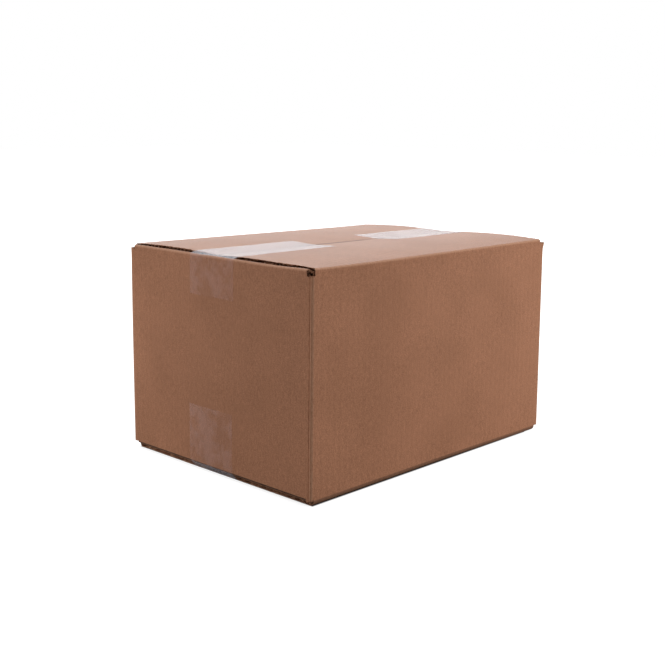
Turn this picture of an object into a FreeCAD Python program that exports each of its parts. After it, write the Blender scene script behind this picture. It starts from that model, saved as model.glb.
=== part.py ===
import FreeCAD, Part
import copy
import enum
import math
import os
import Sketcher

# A closed slotted carton of corrugated board, taped along its top and bottom seams.
# Frame: X along the box, Y across it, Z up, origin at the middle of the resting face.
# The end panel at -X carries the glued joint along its edge at -Y.

# Each driving size: its name, its value in millimetres and what it measures.
DRIVING_SIZES = [
    ("box_length", 290.0, "outside length, along X"),
    ("box_width", 206.0, "outside width, along Y"),
    ("box_height", 172.0, "outside height between the folds of the outer flaps"),
    ("board_thickness", 2.7, "thickness of the corrugated board"),
    ("liner_thickness", 0.35, "thickness of the paper on each face of the board"),
    ("fold_outside", 1.9, "outside radius of a fold"),
    ("fold_inside", 0.5, "inside radius of a fold"),
    ("sag_outside", 4.0, "outside radius where a long panel rolls into its bottom flap"),
    ("sag_inside", 1.3, "inside radius of that fold"),
    ("lip_drop", 0.3, "crest of an end panel's top fold below the long panels' folds"),
    ("lip_foot", 0.9, "radius where that fold's raised lip runs out into its flap"),
    ("top_flap_gap", 0.15, "slack between the inner and outer flaps on top"),
    ("bottom_flap_gap", 2.2, "slack between the inner and outer flaps below"),
    ("seam_gap", 0.8, "opening left between the two outer flaps"),
    ("crown_rise", 1.4, "how far the outer flaps on top bulge above their folds"),
    ("slot_setback", 5.5, "side edge of a flap from the corner of the box"),
    ("slot_depth", 4.3, "floor of a top corner slot from the fold of the end panel"),
    ("bottom_slot_depth", 3.4, "roof of a bottom corner slot from the end panel's fold"),
    ("joint_setback", 1.0, "cut edge of the end panel from the face of the long panel"),
    ("joint_hollow", 0.5, "depth to which the joint's pinched cut edge stands open"),
    ("joint_clearance", 0.5, "inner flap beside the joint from the long panel"),
    ("glue_tab_width", 35.0, "width of the glue tab, from the face of the long panel"),
    ("glue_tab_taper", 9.0, "height that the slanted ends of the glue tab lose"),
    ("glue_bead", 0.15, "width of the glue line where the joint opens"),
    ("edge_hollow", 3.2, "depth of the hollow flute behind a cut edge"),
    ("tape_width", 50.0, "width of the tape"),
    ("tape_thickness", 0.08, "thickness of the tape"),
    ("top_tape_shift", 1.5, "middle of the top tapes from the seam, towards +Y"),
    ("bottom_tape_shift", 4.0, "middle of the bottom tape from the seam, towards +Y"),
    ("front_tape_run", 103.5, "length of the tape on top at the -X end"),
    ("rear_tape_run", 99.5, "length of the tape on top at the +X end"),
    ("top_tape_drop", 31.0, "length of the top tapes down an end panel"),
    ("bottom_tape_rise", 48.0, "length of the bottom tape up an end panel"),
]


class Size:
    """A size that knows its number and the formula that binds it to the sheet."""

    def __init__(self, number, formula):
        self.number = number
        self.formula = formula

    @staticmethod
    def of(value):
        return value if isinstance(value, Size) else Size(value, f"({value})")

    def __add__(self, other):
        other = Size.of(other)
        return Size(self.number + other.number, f"({self.formula} + {other.formula})")

    def __sub__(self, other):
        other = Size.of(other)
        return Size(self.number - other.number, f"({self.formula} - {other.formula})")

    def __mul__(self, other):
        other = Size.of(other)
        return Size(self.number * other.number, f"({self.formula} * {other.formula})")

    def __truediv__(self, other):
        other = Size.of(other)
        return Size(self.number / other.number, f"({self.formula} / {other.formula})")

    def root(self):
        return Size(math.sqrt(self.number), f"sqrt({self.formula})")

    def cosine(self):
        """Cosine of an angle held in degrees."""
        return Size(math.cos(math.radians(self.number)), f"cos({self.formula})")

    def arc_cosine(self):
        """The angle in degrees whose cosine this is."""
        return Size(math.degrees(math.acos(self.number)), f"acos({self.formula})")


def lean_of(across, up):
    """How far the direction (across, up) leans from upright, in degrees."""
    angle = math.degrees(math.atan2(across.number, up.number))
    return Size(angle, f"atan2({across.formula}; {up.formula})")


def fill_sheet(doc):
    """Write the driving sizes into a spreadsheet and return them by name."""
    sheet = doc.addObject("Spreadsheet::Sheet", "sizes")
    sizes = {}
    for row, (name, value, meaning) in enumerate(DRIVING_SIZES, start=1):
        sheet.set(f"A{row}", name)
        sheet.set(f"B{row}", str(value))
        sheet.set(f"C{row}", meaning)
        sheet.setAlias(f"B{row}", name)
        sizes[name] = Size(value, f"sizes.{name}")
    doc.recompute()
    return sizes


# Sketch helpers


def plane_of(body, role):
    """The body's own origin plane with this role."""
    for feature in body.Origin.OriginFeatures:
        if feature.Role == role:
            return feature
    raise LookupError(role)


def new_sketch(body, name, role, offset=None, lean=None, lift=None):
    """A sketch on an origin plane, moved by offset along its normal.

    With lean it is also tilted by that angle about its own X axis, at the height lift.
    """
    sketch = body.newObject("Sketcher::SketchObject", name)
    sketch.AttachmentSupport = [(plane_of(body, role), "")]
    sketch.MapMode = "FlatFace"
    moves = {"z": offset, "y": lift}
    if lean is not None:
        tilt = FreeCAD.Rotation(FreeCAD.Vector(1, 0, 0), lean.number)
        sketch.AttachmentOffset = FreeCAD.Placement(FreeCAD.Vector(0, 0, 0), tilt)
        sketch.setExpression("AttachmentOffset.Rotation.Angle", lean.formula)
    for letter, move in moves.items():
        if move is not None:
            sketch.setExpression(f"AttachmentOffset.Base.{letter}", move.formula)
    return sketch


class Outline:
    """Lines and arcs of one closed outline, with its constraints."""

    def __init__(self, sketch, tag):
        self.sketch = sketch
        self.tag = tag

    def line(self, start, end):
        edge = Part.LineSegment(FreeCAD.Vector(*start, 0), FreeCAD.Vector(*end, 0))
        return self.sketch.addGeometry(edge, False)

    def arc(self, centre, radius, start, end):
        """An arc drawn counter-clockwise between two angles in degrees."""
        circle = Part.Circle(FreeCAD.Vector(*centre, 0), FreeCAD.Vector(0, 0, 1), radius)
        edge = Part.ArcOfCircle(circle, math.radians(start), math.radians(end))
        return self.sketch.addGeometry(edge, False)

    def rule(self, *terms):
        self.sketch.addConstraint(Sketcher.Constraint(*terms))

    def join(self, *pairs):
        for first, first_end, second, second_end in pairs:
            self.rule("Coincident", first, first_end, second, second_end)

    def blend(self, *pairs):
        """Edges that meet end to end without a corner."""
        for first, first_end, second, second_end in pairs:
            self.rule("Tangent", first, first_end, second, second_end)

    def size(self, name, size, *terms):
        """A dimension bound to the sheet."""
        index = self.sketch.addConstraint(Sketcher.Constraint(*terms, size.number))
        label = f"{self.tag}_{name}"
        self.sketch.renameConstraint(index, label)
        self.sketch.setExpression(f"Constraints.{label}", size.formula)

    def across(self, name, size, side, edge, point):
        """Horizontal distance of a point from the origin, to the side -1 or +1."""
        ends = (-1, 1, edge, point) if side > 0 else (edge, point, -1, 1)
        self.size(name, size, "DistanceX", *ends)

    def height(self, name, size, edge, point):
        """Height of a point above the origin, or below it when the size is negative."""
        if size.number < 0:
            self.size(name, Size.of(0) - size, "DistanceY", edge, point, -1, 1)
        else:
            self.size(name, size, "DistanceY", -1, 1, edge, point)


class Spot(enum.IntEnum):
    """Which point of an edge a constraint takes."""

    START = 1
    END = 2
    CENTRE = 3


START, END, CENTRE = Spot


def new_body(doc, name):
    body = doc.addObject("PartDesign::Body", name)
    body.Label = name
    return body


def pad(body, name, sketch, length, back=False):
    """Material from the sketch along its normal, or behind it."""
    feature = body.newObject("PartDesign::Pad", name)
    feature.Profile = sketch
    feature.setExpression("Length", length.formula)
    feature.Reversed = back
    return feature


def pad_both_ways(body, name, sketch, ahead, behind):
    """Material on both sides of the sketch: ahead along its normal, and behind it."""
    feature = pad(body, name, sketch, ahead)
    feature.SideType = "Two sides"
    feature.setExpression("Length2", behind.formula)
    return feature


def pocket(body, name, sketch, depth, ahead=False):
    """A cut from the sketch against its normal, or ahead of it, that must take material."""
    before = body.Tip.Shape.Volume
    feature = body.newObject("PartDesign::Pocket", name)
    feature.Profile = sketch
    feature.setExpression("Length", depth.formula)
    feature.Reversed = ahead
    body.Document.recompute()
    if feature.Shape.Volume >= before:
        raise RuntimeError(f"{name} cuts nothing")
    return feature


# Sections of the board at its folds


class Fold:
    """One flap's section: where its wall stands, its level and its layer of board.

    side is the wall's sign across, up is +1 for a top flap and -1 for a bottom one.
    The scored line is crushed, so the outside bends in a smaller arc than the board
    is thick, and the inside in one of its own.
    """

    def __init__(self, side, up, wall, level, base, tip, radii, thickness):
        self.side = side
        self.up = up
        self.wall = wall
        self.level = level
        self.base = base
        self.tip = tip
        self.outer_radius, self.inner_radius = radii
        self.thickness = thickness
        self.bend_across = wall - self.outer_radius
        self.bend_up = level - self.outer_radius * up
        self.name = f"{'far' if side > 0 else 'near'}_{'top' if up > 0 else 'bottom'}"

    def thinned(self, skin):
        """The same section without a skin on both of its faces."""
        return Fold(self.side, self.up, self.wall - skin, self.level - skin * self.up,
                    self.base, self.tip, (self.outer_radius - skin, self.inner_radius + skin),
                    self.thickness - skin * 2)

    def inner_centre(self):
        """Centre of the inside arc of a flap that lies flat, as numbers."""
        inset = (self.thickness + self.inner_radius).number
        return (self.wall.number - inset) * self.side, self.level.number - inset * self.up

    def angles(self, start, end):
        """Angles of an arc drawn for the top right, carried to this flap's quarter."""
        if self.side < 0:
            start, end = 180 - end, 180 - start
        if self.up < 0:
            start, end = -end, -start
        return start, end


class Lip:
    """The raised lip along an end panel's top fold, before its flap dips under the others.

    crest is its level, run its width from the wall and foot the radius it ends in.
    """

    def __init__(self, crest, run, foot):
        self.crest = crest
        self.run = run
        self.foot = foot

    def thinned(self, skin):
        return Lip(self.crest - skin, self.run - skin, self.foot + skin)


class Crown:
    """The long arc of a flap that bulges: its centre lies far below the flap."""

    def __init__(self, fold, rise):
        self.middle = fold.wall / 2
        arm = fold.bend_across - self.middle
        reach = (arm * arm + rise * rise) / (rise * 2)
        self.centre_up = fold.bend_up + rise - reach
        self.outer_radius = reach + fold.outer_radius

    def thinned(self, skin):
        """The same arc without a skin on its outer face."""
        inner = copy.copy(self)
        inner.outer_radius = self.outer_radius - skin
        return inner

    def seam_height(self):
        """Height of the outer face where it would meet the middle of the box."""
        drop = self.outer_radius * self.outer_radius - self.middle * self.middle
        return self.centre_up + drop.root()


def draw_bend(outline, fold, turns, inner_centre, outer_up=None):
    """The outside and inside arcs of a fold, and which of their ends lie at wall and flap.

    turns are how far each arc turns, outside first; outer_up is the outside arc's
    centre where it isn't the fold's own.
    """
    outer_up = outer_up or fold.bend_up
    outer_centre = (fold.bend_across.number * fold.side, outer_up.number)
    outer = outline.arc(outer_centre, fold.outer_radius.number, *fold.angles(0, turns[0]))
    inner = outline.arc(inner_centre, fold.inner_radius.number, *fold.angles(0, turns[1]))
    outline.size("outer_radius", fold.outer_radius, "Radius", outer)
    outline.size("inner_radius", fold.inner_radius, "Radius", inner)
    outline.across("wall", fold.bend_across, fold.side, outer, CENTRE)
    outline.height("level", outer_up, outer, CENTRE)
    wall_end, flap_end = (START, END) if fold.side * fold.up > 0 else (END, START)
    return outer, inner, wall_end, flap_end


def draw_leg(outline, fold, outer, inner, wall_end, tops):
    """The upright part of the section, from the slot floor to the fold's two arcs."""
    outside = fold.wall.number * fold.side
    inside = (fold.wall - fold.thickness).number * fold.side
    base = fold.base.number
    outer_leg = outline.line((outside, base), (outside, tops[0]))
    inner_leg = outline.line((inside, tops[1]), (inside, base))
    floor = outline.line((inside, base), (outside, base))
    outline.blend((outer_leg, END, outer, wall_end), (inner, wall_end, inner_leg, START))
    outline.join((inner_leg, END, floor, START), (floor, END, outer_leg, START))
    outline.rule("Vertical", outer_leg)
    outline.rule("Vertical", inner_leg)
    outline.rule("Horizontal", floor)
    outline.size("thickness", fold.thickness, "Distance", floor)
    outline.height("base", fold.base, floor, START)


def draw_flat_flap(sketch, fold):
    """Outline of a wall's edge, its fold and a flat flap."""
    outline = Outline(sketch, fold.name)
    inner_centre = fold.inner_centre()
    outer, inner, wall_end, flap_end = draw_bend(outline, fold, (90, 90), inner_centre)
    draw_leg(outline, fold, outer, inner, wall_end, (fold.bend_up.number, inner_centre[1]))
    root = fold.bend_across.number * fold.side
    top = draw_flap_end(outline, fold, root, inner_centre[0], inner, flap_end)
    outline.blend((outer, flap_end, top, START))


def draw_flap_end(outline, fold, root, inner_root, inner, flap_end):
    """The flat of a flap to its cut edge and back along its underside."""
    tip = fold.tip.number * fold.side
    face = fold.level.number
    back = (fold.level - fold.thickness * fold.up).number
    top = outline.line((root, face), (tip, face))
    edge = outline.line((tip, face), (tip, back))
    under = outline.line((tip, back), (inner_root, back))
    outline.blend((under, END, inner, flap_end))
    outline.join((top, END, edge, START), (edge, END, under, START))
    outline.rule("Horizontal", top)
    outline.rule("Horizontal", under)
    outline.rule("Vertical", edge)
    outline.size("flap_thickness", fold.thickness, "Distance", edge)
    outline.across("tip", fold.tip, fold.side, edge, START)
    return top


def draw_lipped_flap(sketch, fold, lip):
    """Outline of an end panel's top edge: wall, raised lip, and flap dipping behind it.

    The slope between the lip's two arcs is their common tangent.
    """
    outline = Outline(sketch, fold.name)
    side, radius, foot = fold.side, fold.outer_radius.number, lip.foot.number
    crest_up = lip.crest - fold.outer_radius
    foot_across = fold.wall - lip.run
    foot_up = fold.level + lip.foot
    run = fold.bend_across.number - foot_across.number
    climb = foot_up.number - crest_up.number
    slope = math.atan2(climb, -run) - math.acos((radius + foot) / math.hypot(run, climb))
    turn = math.degrees(slope)
    inner_centre = fold.inner_centre()
    outer, inner, wall_end, flap_end = draw_bend(
        outline, fold, (turn, 90), inner_centre, crest_up)
    draw_leg(outline, fold, outer, inner, wall_end, (crest_up.number, inner_centre[1]))
    foot_centre = (foot_across.number * side, foot_up.number)
    angles = (270, turn + 180) if side > 0 else (360 - turn, 270)
    dip = outline.arc(foot_centre, foot, *angles)
    ramp_end, flat_end = (END, START) if side > 0 else (START, END)
    high = (fold.bend_across.number + radius * math.cos(slope),
            crest_up.number + radius * math.sin(slope))
    low = (foot_across.number - foot * math.cos(slope),
           foot_up.number - foot * math.sin(slope))
    ramp = outline.line((high[0] * side, high[1]), (low[0] * side, low[1]))
    top = draw_flap_end(outline, fold, foot_centre[0], inner_centre[0], inner, flap_end)
    outline.blend((outer, flap_end, ramp, START), (ramp, END, dip, ramp_end),
                  (dip, flat_end, top, START))
    outline.size("foot", lip.foot, "Radius", dip)
    outline.across("foot_across", foot_across, side, dip, CENTRE)


def draw_crowned_flap(sketch, fold, crown):
    """Outline of a wall's edge, its fold and a top flap that bulges in one long arc."""
    arm = (fold.bend_across - crown.middle).number
    rise = (fold.bend_up - crown.centre_up).number
    outline = Outline(sketch, fold.name)
    turn = math.degrees(math.atan2(rise, arm))
    centre = (crown.middle.number * fold.side, crown.centre_up.number)
    over = math.hypot(arm, rise) + fold.outer_radius.number
    below = over - fold.thickness.number
    inset = fold.inner_centre()[0] * fold.side - crown.middle.number
    inner_turn = math.degrees(math.acos(inset / (below - fold.inner_radius.number)))
    inner_up = centre[1] + inset * math.tan(math.radians(inner_turn))
    inner_centre = (fold.inner_centre()[0], inner_up)
    outer, inner, wall_end, flap_end = draw_bend(outline, fold, (turn, inner_turn), inner_centre)
    draw_leg(outline, fold, outer, inner, wall_end, (fold.bend_up.number, inner_up))
    root_end, tip_end = (START, END) if fold.side > 0 else (END, START)
    tip = (fold.tip - crown.middle).number
    arcs, tips = [], []
    for radius, start in ((over, turn), (below, inner_turn)):
        tip_angle = math.degrees(math.acos(tip / radius))
        arcs.append(outline.arc(centre, radius, *fold.angles(start, tip_angle)))
        tip_up = centre[1] + radius * math.sin(math.radians(tip_angle))
        tips.append((fold.tip.number * fold.side, tip_up))
    top, under = arcs
    edge = outline.line(*tips)
    outline.size("under", crown.outer_radius - fold.thickness, "Radius", under)
    outline.join((top, CENTRE, under, CENTRE))
    outline.blend((outer, flap_end, top, root_end), (under, root_end, inner, flap_end))
    outline.join((top, tip_end, edge, START), (edge, END, under, tip_end))
    outline.rule("Vertical", edge)
    outline.across("tip", fold.tip, fold.side, edge, START)
    outline.across("crown", crown.middle, fold.side, top, CENTRE)
    outline.height("crown_centre", crown.centre_up, top, CENTRE)


# The carton


class Carton:
    """Levels and places of the folded board, worked out from the driving sizes."""

    def __init__(self, sizes):
        self.board = sizes["board_thickness"]
        self.liner = sizes["liner_thickness"]
        self.outer_radius = sizes["fold_outside"]
        self.inner_radius = sizes["fold_inside"]
        self.sag_radii = (sizes["sag_outside"], sizes["sag_inside"])
        self.half_length = sizes["box_length"] / 2
        self.half_width = sizes["box_width"] / 2
        self.outer_bottom = sizes["tape_thickness"]
        self.outer_top = self.outer_bottom + sizes["box_height"]
        self.inner_bottom = self.outer_bottom + self.board + sizes["bottom_flap_gap"]
        self.inner_top = self.outer_top - self.board - sizes["top_flap_gap"]
        self.lip = Lip(self.outer_top - sizes["lip_drop"], sizes["slot_setback"],
                       sizes["lip_foot"])
        self.slot_bottom = self.inner_bottom + sizes["bottom_slot_depth"]
        self.slot_top = self.lip.crest - sizes["slot_depth"]
        self.seam_half = sizes["seam_gap"] / 2
        self.inner_tip = self.half_length - self.half_width + self.seam_half
        self.outer_side = self.half_length - sizes["slot_setback"]
        self.inner_side = self.half_width - sizes["slot_setback"]
        self.joint_side = self.half_width - self.board - sizes["joint_clearance"]
        self.joint_edge = self.half_width - sizes["joint_setback"]
        self.tab_tip = self.half_width - sizes["glue_tab_width"]
        self.tab_taper = sizes["glue_tab_taper"]
        self.glue_bead = sizes["glue_bead"]
        self.edge_hollow = sizes["edge_hollow"]
        self.joint_hollow = sizes["joint_hollow"]
        self.crown = Crown(self.outer_fold(1, 1), sizes["crown_rise"])

    def outer_fold(self, side, up):
        """Section of a flap on a long panel, whose lower fold sags in a wider bend."""
        level = self.outer_top if up > 0 else self.outer_bottom
        base = self.slot_top if up > 0 else self.slot_bottom
        radii = (self.outer_radius, self.inner_radius) if up > 0 else self.sag_radii
        return Fold(side, up, self.half_width, level, base, self.seam_half, radii, self.board)

    def inner_fold(self, side, up):
        """Section of a flap on an end panel."""
        level = self.inner_top if up > 0 else self.inner_bottom
        base = self.slot_top if up > 0 else self.slot_bottom
        return Fold(side, up, self.half_length, level, base, self.inner_tip,
                    (self.outer_radius, self.inner_radius), self.board)


def draw_outer_flaps(sketch, carton, skin=None):
    """Sections of the four outer flaps, or of their flutes when a skin is taken off."""
    for side in (-1, 1):
        for up in (-1, 1):
            fold = carton.outer_fold(side, up)
            layer = fold if skin is None else fold.thinned(skin)
            if up > 0:
                crown = carton.crown if skin is None else carton.crown.thinned(skin)
                draw_crowned_flap(sketch, layer, crown)
            else:
                draw_flat_flap(sketch, layer)


def draw_inner_flaps(sketch, carton, sides, skin=None):
    """Sections of the end panels' flaps, or of their flutes when a skin is taken off."""
    for side in sides:
        for up in (-1, 1):
            fold = carton.inner_fold(side, up)
            layer = fold if skin is None else fold.thinned(skin)
            if up > 0:
                lip = carton.lip if skin is None else carton.lip.thinned(skin)
                draw_lipped_flap(sketch, layer, lip)
            else:
                draw_flat_flap(sketch, layer)


def draw_three_corners(outline, length, width, radius, left_foot, front_foot):
    """The run of walls and rounded corners from the end panel round to the long one.

    left_foot is where the end panel starts, front_foot where the last long panel ends.
    """
    end_panel = outline.line((-length, left_foot), (-length, width - radius))
    back_left = outline.arc((-length + radius, width - radius), radius, 90, 180)
    back_panel = outline.line((-length + radius, width), (length - radius, width))
    back_right = outline.arc((length - radius, width - radius), radius, 0, 90)
    far_panel = outline.line((length, width - radius), (length, -width + radius))
    front_right = outline.arc((length - radius, -width + radius), radius, 270, 360)
    front_panel = outline.line((length - radius, -width), (front_foot, -width))
    outline.blend(
        (end_panel, END, back_left, END), (back_left, START, back_panel, START),
        (back_panel, END, back_right, END), (back_right, START, far_panel, START),
        (far_panel, END, front_right, END), (front_right, START, front_panel, START))
    outline.rule("Vertical", end_panel)
    outline.rule("Horizontal", back_panel)
    outline.rule("Vertical", far_panel)
    outline.rule("Horizontal", front_panel)
    outline.rule("Equal", back_left, back_right)
    outline.rule("Equal", back_right, front_right)
    return end_panel, back_left, back_panel, far_panel, front_right, front_panel


def size_walls(outline, walls, half_length, half_width, radius):
    """Bind the run of walls to the box's sizes."""
    end_panel, back_left, back_panel, far_panel, _, front_panel = walls
    outline.size("radius", radius, "Radius", back_left)
    outline.across("left", half_length, -1, end_panel, START)
    outline.across("right", half_length, 1, far_panel, START)
    outline.height("back", half_width, back_panel, START)
    outline.height("front", Size.of(0) - half_width, front_panel, START)


def draw_wall_outside(sketch, carton):
    """Outside of the four walls, seen from above.

    At the joint the end panel's cut edge stands open: two liners with the hollow
    flute between them, and behind it the fold of the glue tab.
    """
    outline = Outline(sketch, "outside")
    length, width = carton.half_length.number, carton.half_width.number
    radius, board = carton.outer_radius.number, carton.board.number
    liner, bead = carton.liner.number, carton.glue_bead.number
    joint = -carton.joint_edge.number
    hollow = joint + carton.joint_hollow.number
    tab_fold = (-length + board + radius, -width + radius)
    bead_turn = math.acos(1 - bead / radius)
    bead_up = tab_fold[1] - radius * math.sin(bead_turn)
    outer_skin, inner_skin = -length + liner, -length + board - liner
    walls = draw_three_corners(outline, length, width, radius, joint, tab_fold[0])
    end_panel, _, _, _, front_right, front_panel = walls
    front_left = outline.arc(tab_fold, radius, 180 + math.degrees(bead_turn), 270)
    steps = [(-length + board + bead, bead_up), (-length + board, bead_up),
             (-length + board, joint), (inner_skin, joint), (inner_skin, hollow),
             (outer_skin, hollow), (outer_skin, joint), (-length, joint)]
    lines = [outline.line(a, b) for a, b in zip(steps, steps[1:])]
    bead_line, back, inner_lip, inner_side, hollow_floor, outer_side, outer_lip = lines
    outline.blend((front_panel, END, front_left, END))
    outline.join((front_left, START, bead_line, START))
    for first, second in zip(lines, lines[1:] + [end_panel]):
        outline.join((first, END, second, START))
    for upright in (back, inner_side, outer_side):
        outline.rule("Vertical", upright)
    for level in (bead_line, inner_lip, hollow_floor, outer_lip):
        outline.rule("Horizontal", level)
    outline.rule("Equal", front_right, front_left)
    size_walls(outline, walls, carton.half_length, carton.half_width, carton.outer_radius)
    outline.height("joint", Size.of(0) - carton.joint_edge, inner_lip, START)
    outline.height("outer_joint", Size.of(0) - carton.joint_edge, outer_lip, START)
    outline.across("panel_back", carton.half_length - carton.board, -1, back, START)
    outline.size("bead", carton.glue_bead, "Distance", bead_line)
    outline.size("inner_liner", carton.liner, "Distance", inner_lip)
    outline.size("outer_liner", carton.liner, "Distance", outer_lip)
    outline.size("hollow", carton.joint_hollow, "Distance", inner_side)
    tab_fold_across = carton.half_length - carton.board - carton.outer_radius
    outline.across("tab_fold", tab_fold_across, -1, front_left, CENTRE)


def draw_wall_inside(sketch, carton):
    """Inside of the four walls, seen from above, with the glue tab on the end panel."""
    outline = Outline(sketch, "inside")
    length = (carton.half_length - carton.board).number
    width = (carton.half_width - carton.board).number
    radius = carton.inner_radius.number
    tab_face = -length + carton.board.number
    tip = -carton.tab_tip.number
    walls = draw_three_corners(outline, length, width, radius, tip, tab_face + radius)
    end_panel, _, _, _, front_right, front_panel = walls
    front_left = outline.arc((tab_face + radius, -width + radius), radius, 180, 270)
    tab = outline.line((tab_face, -width + radius), (tab_face, tip))
    tab_edge = outline.line((tab_face, tip), (-length, tip))
    outline.blend((front_panel, END, front_left, END), (front_left, START, tab, START))
    outline.join((tab, END, tab_edge, START), (tab_edge, END, end_panel, START))
    outline.rule("Vertical", tab)
    outline.rule("Horizontal", tab_edge)
    outline.rule("Equal", front_right, front_left)
    size_walls(outline, walls, carton.half_length - carton.board,
               carton.half_width - carton.board, carton.inner_radius)
    outline.size("tab", carton.board, "Distance", tab_edge)
    outline.height("tab_tip", Size.of(0) - carton.tab_tip, tab_edge, START)


def draw_tab_tapers(sketch, carton):
    """The two slanted corners that are cut from the glue tab, seen from its face."""
    root, tip = carton.half_width - carton.outer_radius, carton.tab_tip
    for name, edge, sign in (("top", carton.slot_top, -1), ("bottom", carton.slot_bottom, 1)):
        slant = edge + carton.tab_taper * sign
        corners = [(-root.number, edge.number), (-tip.number, edge.number),
                   (-tip.number, slant.number)]
        outline = Outline(sketch, name)
        lines = [outline.line(a, b) for a, b in zip(corners, corners[1:] + corners[:1])]
        for first, second in zip(lines, lines[1:] + lines[:1]):
            outline.join((first, END, second, START))
        outline.rule("Horizontal", lines[0])
        outline.rule("Vertical", lines[1])
        outline.height("edge", edge, lines[0], START)
        outline.across("root", root, -1, lines[0], START)
        outline.across("tip", tip, -1, lines[1], START)
        outline.size("taper", carton.tab_taper, "Distance", lines[1])


def make_walls(body, carton):
    """Four walls between the slot floors, closed by the glue tab."""
    sketch = new_sketch(body, "wall_section", "XY_Plane", carton.slot_bottom)
    draw_wall_outside(sketch, carton)
    draw_wall_inside(sketch, carton)
    pad(body, "walls", sketch, carton.slot_top - carton.slot_bottom)
    body.Document.recompute()
    inside = carton.board - carton.half_length
    sketch = new_sketch(body, "tab_taper_section", "YZ_Plane", inside)
    draw_tab_tapers(sketch, carton)
    pocket(body, "tab_tapers", sketch, carton.board, ahead=True)


def make_flaps(body, carton):
    """The eight flaps, narrower than their walls so that the corners stand slotted."""
    sketch = new_sketch(body, "outer_flap_section", "YZ_Plane")
    draw_outer_flaps(sketch, carton)
    flaps = pad(body, "outer_flaps", sketch, carton.outer_side * 2)
    flaps.SideType = "Symmetric"
    for side, end, name in ((-1, carton.joint_side, "front"), (1, carton.inner_side, "rear")):
        sketch = new_sketch(body, f"{name}_flap_section", "XZ_Plane")
        draw_inner_flaps(sketch, carton, (side,))
        pad_both_ways(body, f"{name}_flaps", sketch, end, carton.inner_side)
    body.Document.recompute()


def open_side_edges(body, carton):
    """The hollow flute along every flap edge that was cut in line with the flutes."""
    for side, name in ((-1, "front"), (1, "rear")):
        edge = carton.outer_side * side
        sketch = new_sketch(body, f"outer_flute_{name}", "YZ_Plane", edge)
        draw_outer_flaps(sketch, carton, carton.liner)
        pocket(body, f"outer_edge_{name}", sketch, carton.edge_hollow, ahead=side < 0)
    edges = (("far", carton.inner_side * -1, (-1, 1), True),
             ("joint", carton.joint_side, (-1,), False),
             ("near", carton.inner_side, (1,), False))
    for name, edge, sides, ahead in edges:
        sketch = new_sketch(body, f"inner_flute_{name}", "XZ_Plane", edge)
        draw_inner_flaps(sketch, carton, sides, carton.liner)
        pocket(body, f"inner_edge_{name}", sketch, carton.edge_hollow, ahead=ahead)


def make_carton(doc, carton):
    body = new_body(doc, "carton")
    make_walls(body, carton)
    make_flaps(body, carton)
    open_side_edges(body, carton)
    return body


# The tape


class Tape:
    """One strip's width to each side of the seam, and where it wraps an inner fold."""

    def __init__(self, sizes, carton, shift):
        self.thickness = sizes["tape_thickness"]
        self.near = sizes["tape_width"] / 2 - shift
        self.far = sizes["tape_width"] / 2 + shift
        self.wall = carton.half_length
        self.radius = carton.outer_radius
        self.bend_across = carton.half_length - carton.outer_radius


def draw_strip_on_crowns(sketch, tape, crown):
    """Section of a strip that lies on both bulging flaps and dips at the seam."""
    outline = Outline(sketch, "strip")
    middle, centre_up = crown.middle.number, crown.centre_up.number
    faces = []
    valley_face = crown.seam_height()
    for layer, lift in (("lower", Size.of(0)), ("upper", tape.thickness)):
        valley = (valley_face + lift).number
        radius = math.hypot(middle, valley - centre_up)
        seam = math.degrees(math.acos(middle / radius))
        near = math.degrees(math.acos((middle - tape.near.number) / radius))
        far = math.degrees(math.acos((middle - tape.far.number) / radius))
        near_arc = outline.arc((-middle, centre_up), radius, seam, near)
        far_arc = outline.arc((middle, centre_up), radius, 180 - far, 180 - seam)
        outline.join((near_arc, START, far_arc, END))
        outline.across(f"{layer}_near_crown", crown.middle, -1, near_arc, CENTRE)
        outline.across(f"{layer}_far_crown", crown.middle, 1, far_arc, CENTRE)
        outline.height(f"{layer}_near_centre", crown.centre_up, near_arc, CENTRE)
        outline.height(f"{layer}_far_centre", crown.centre_up, far_arc, CENTRE)
        outline.height(f"{layer}_valley", valley_face + lift, near_arc, START)
        outline.rule("PointOnObject", near_arc, START, -2)
        faces.append((near_arc, far_arc, radius, near, far))
    (low_near, low_far, low_radius, low_near_turn, low_far_turn) = faces[0]
    (high_near, high_far, high_radius, high_near_turn, high_far_turn) = faces[1]
    ends = ((-tape.near.number, low_near, high_near, END, low_near_turn, high_near_turn, "near"),
            (tape.far.number, low_far, high_far, START, low_far_turn, high_far_turn, "far"))
    for across, low, high, point, low_turn, high_turn, name in ends:
        low_up = centre_up + low_radius * math.sin(math.radians(low_turn))
        high_up = centre_up + high_radius * math.sin(math.radians(high_turn))
        edge = outline.line((across, low_up), (across, high_up))
        outline.join((low, point, edge, START), (edge, END, high, point))
        outline.rule("Vertical", edge)
        reach = tape.near if name == "near" else tape.far
        outline.across(name, reach, -1 if name == "near" else 1, edge, START)


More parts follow.
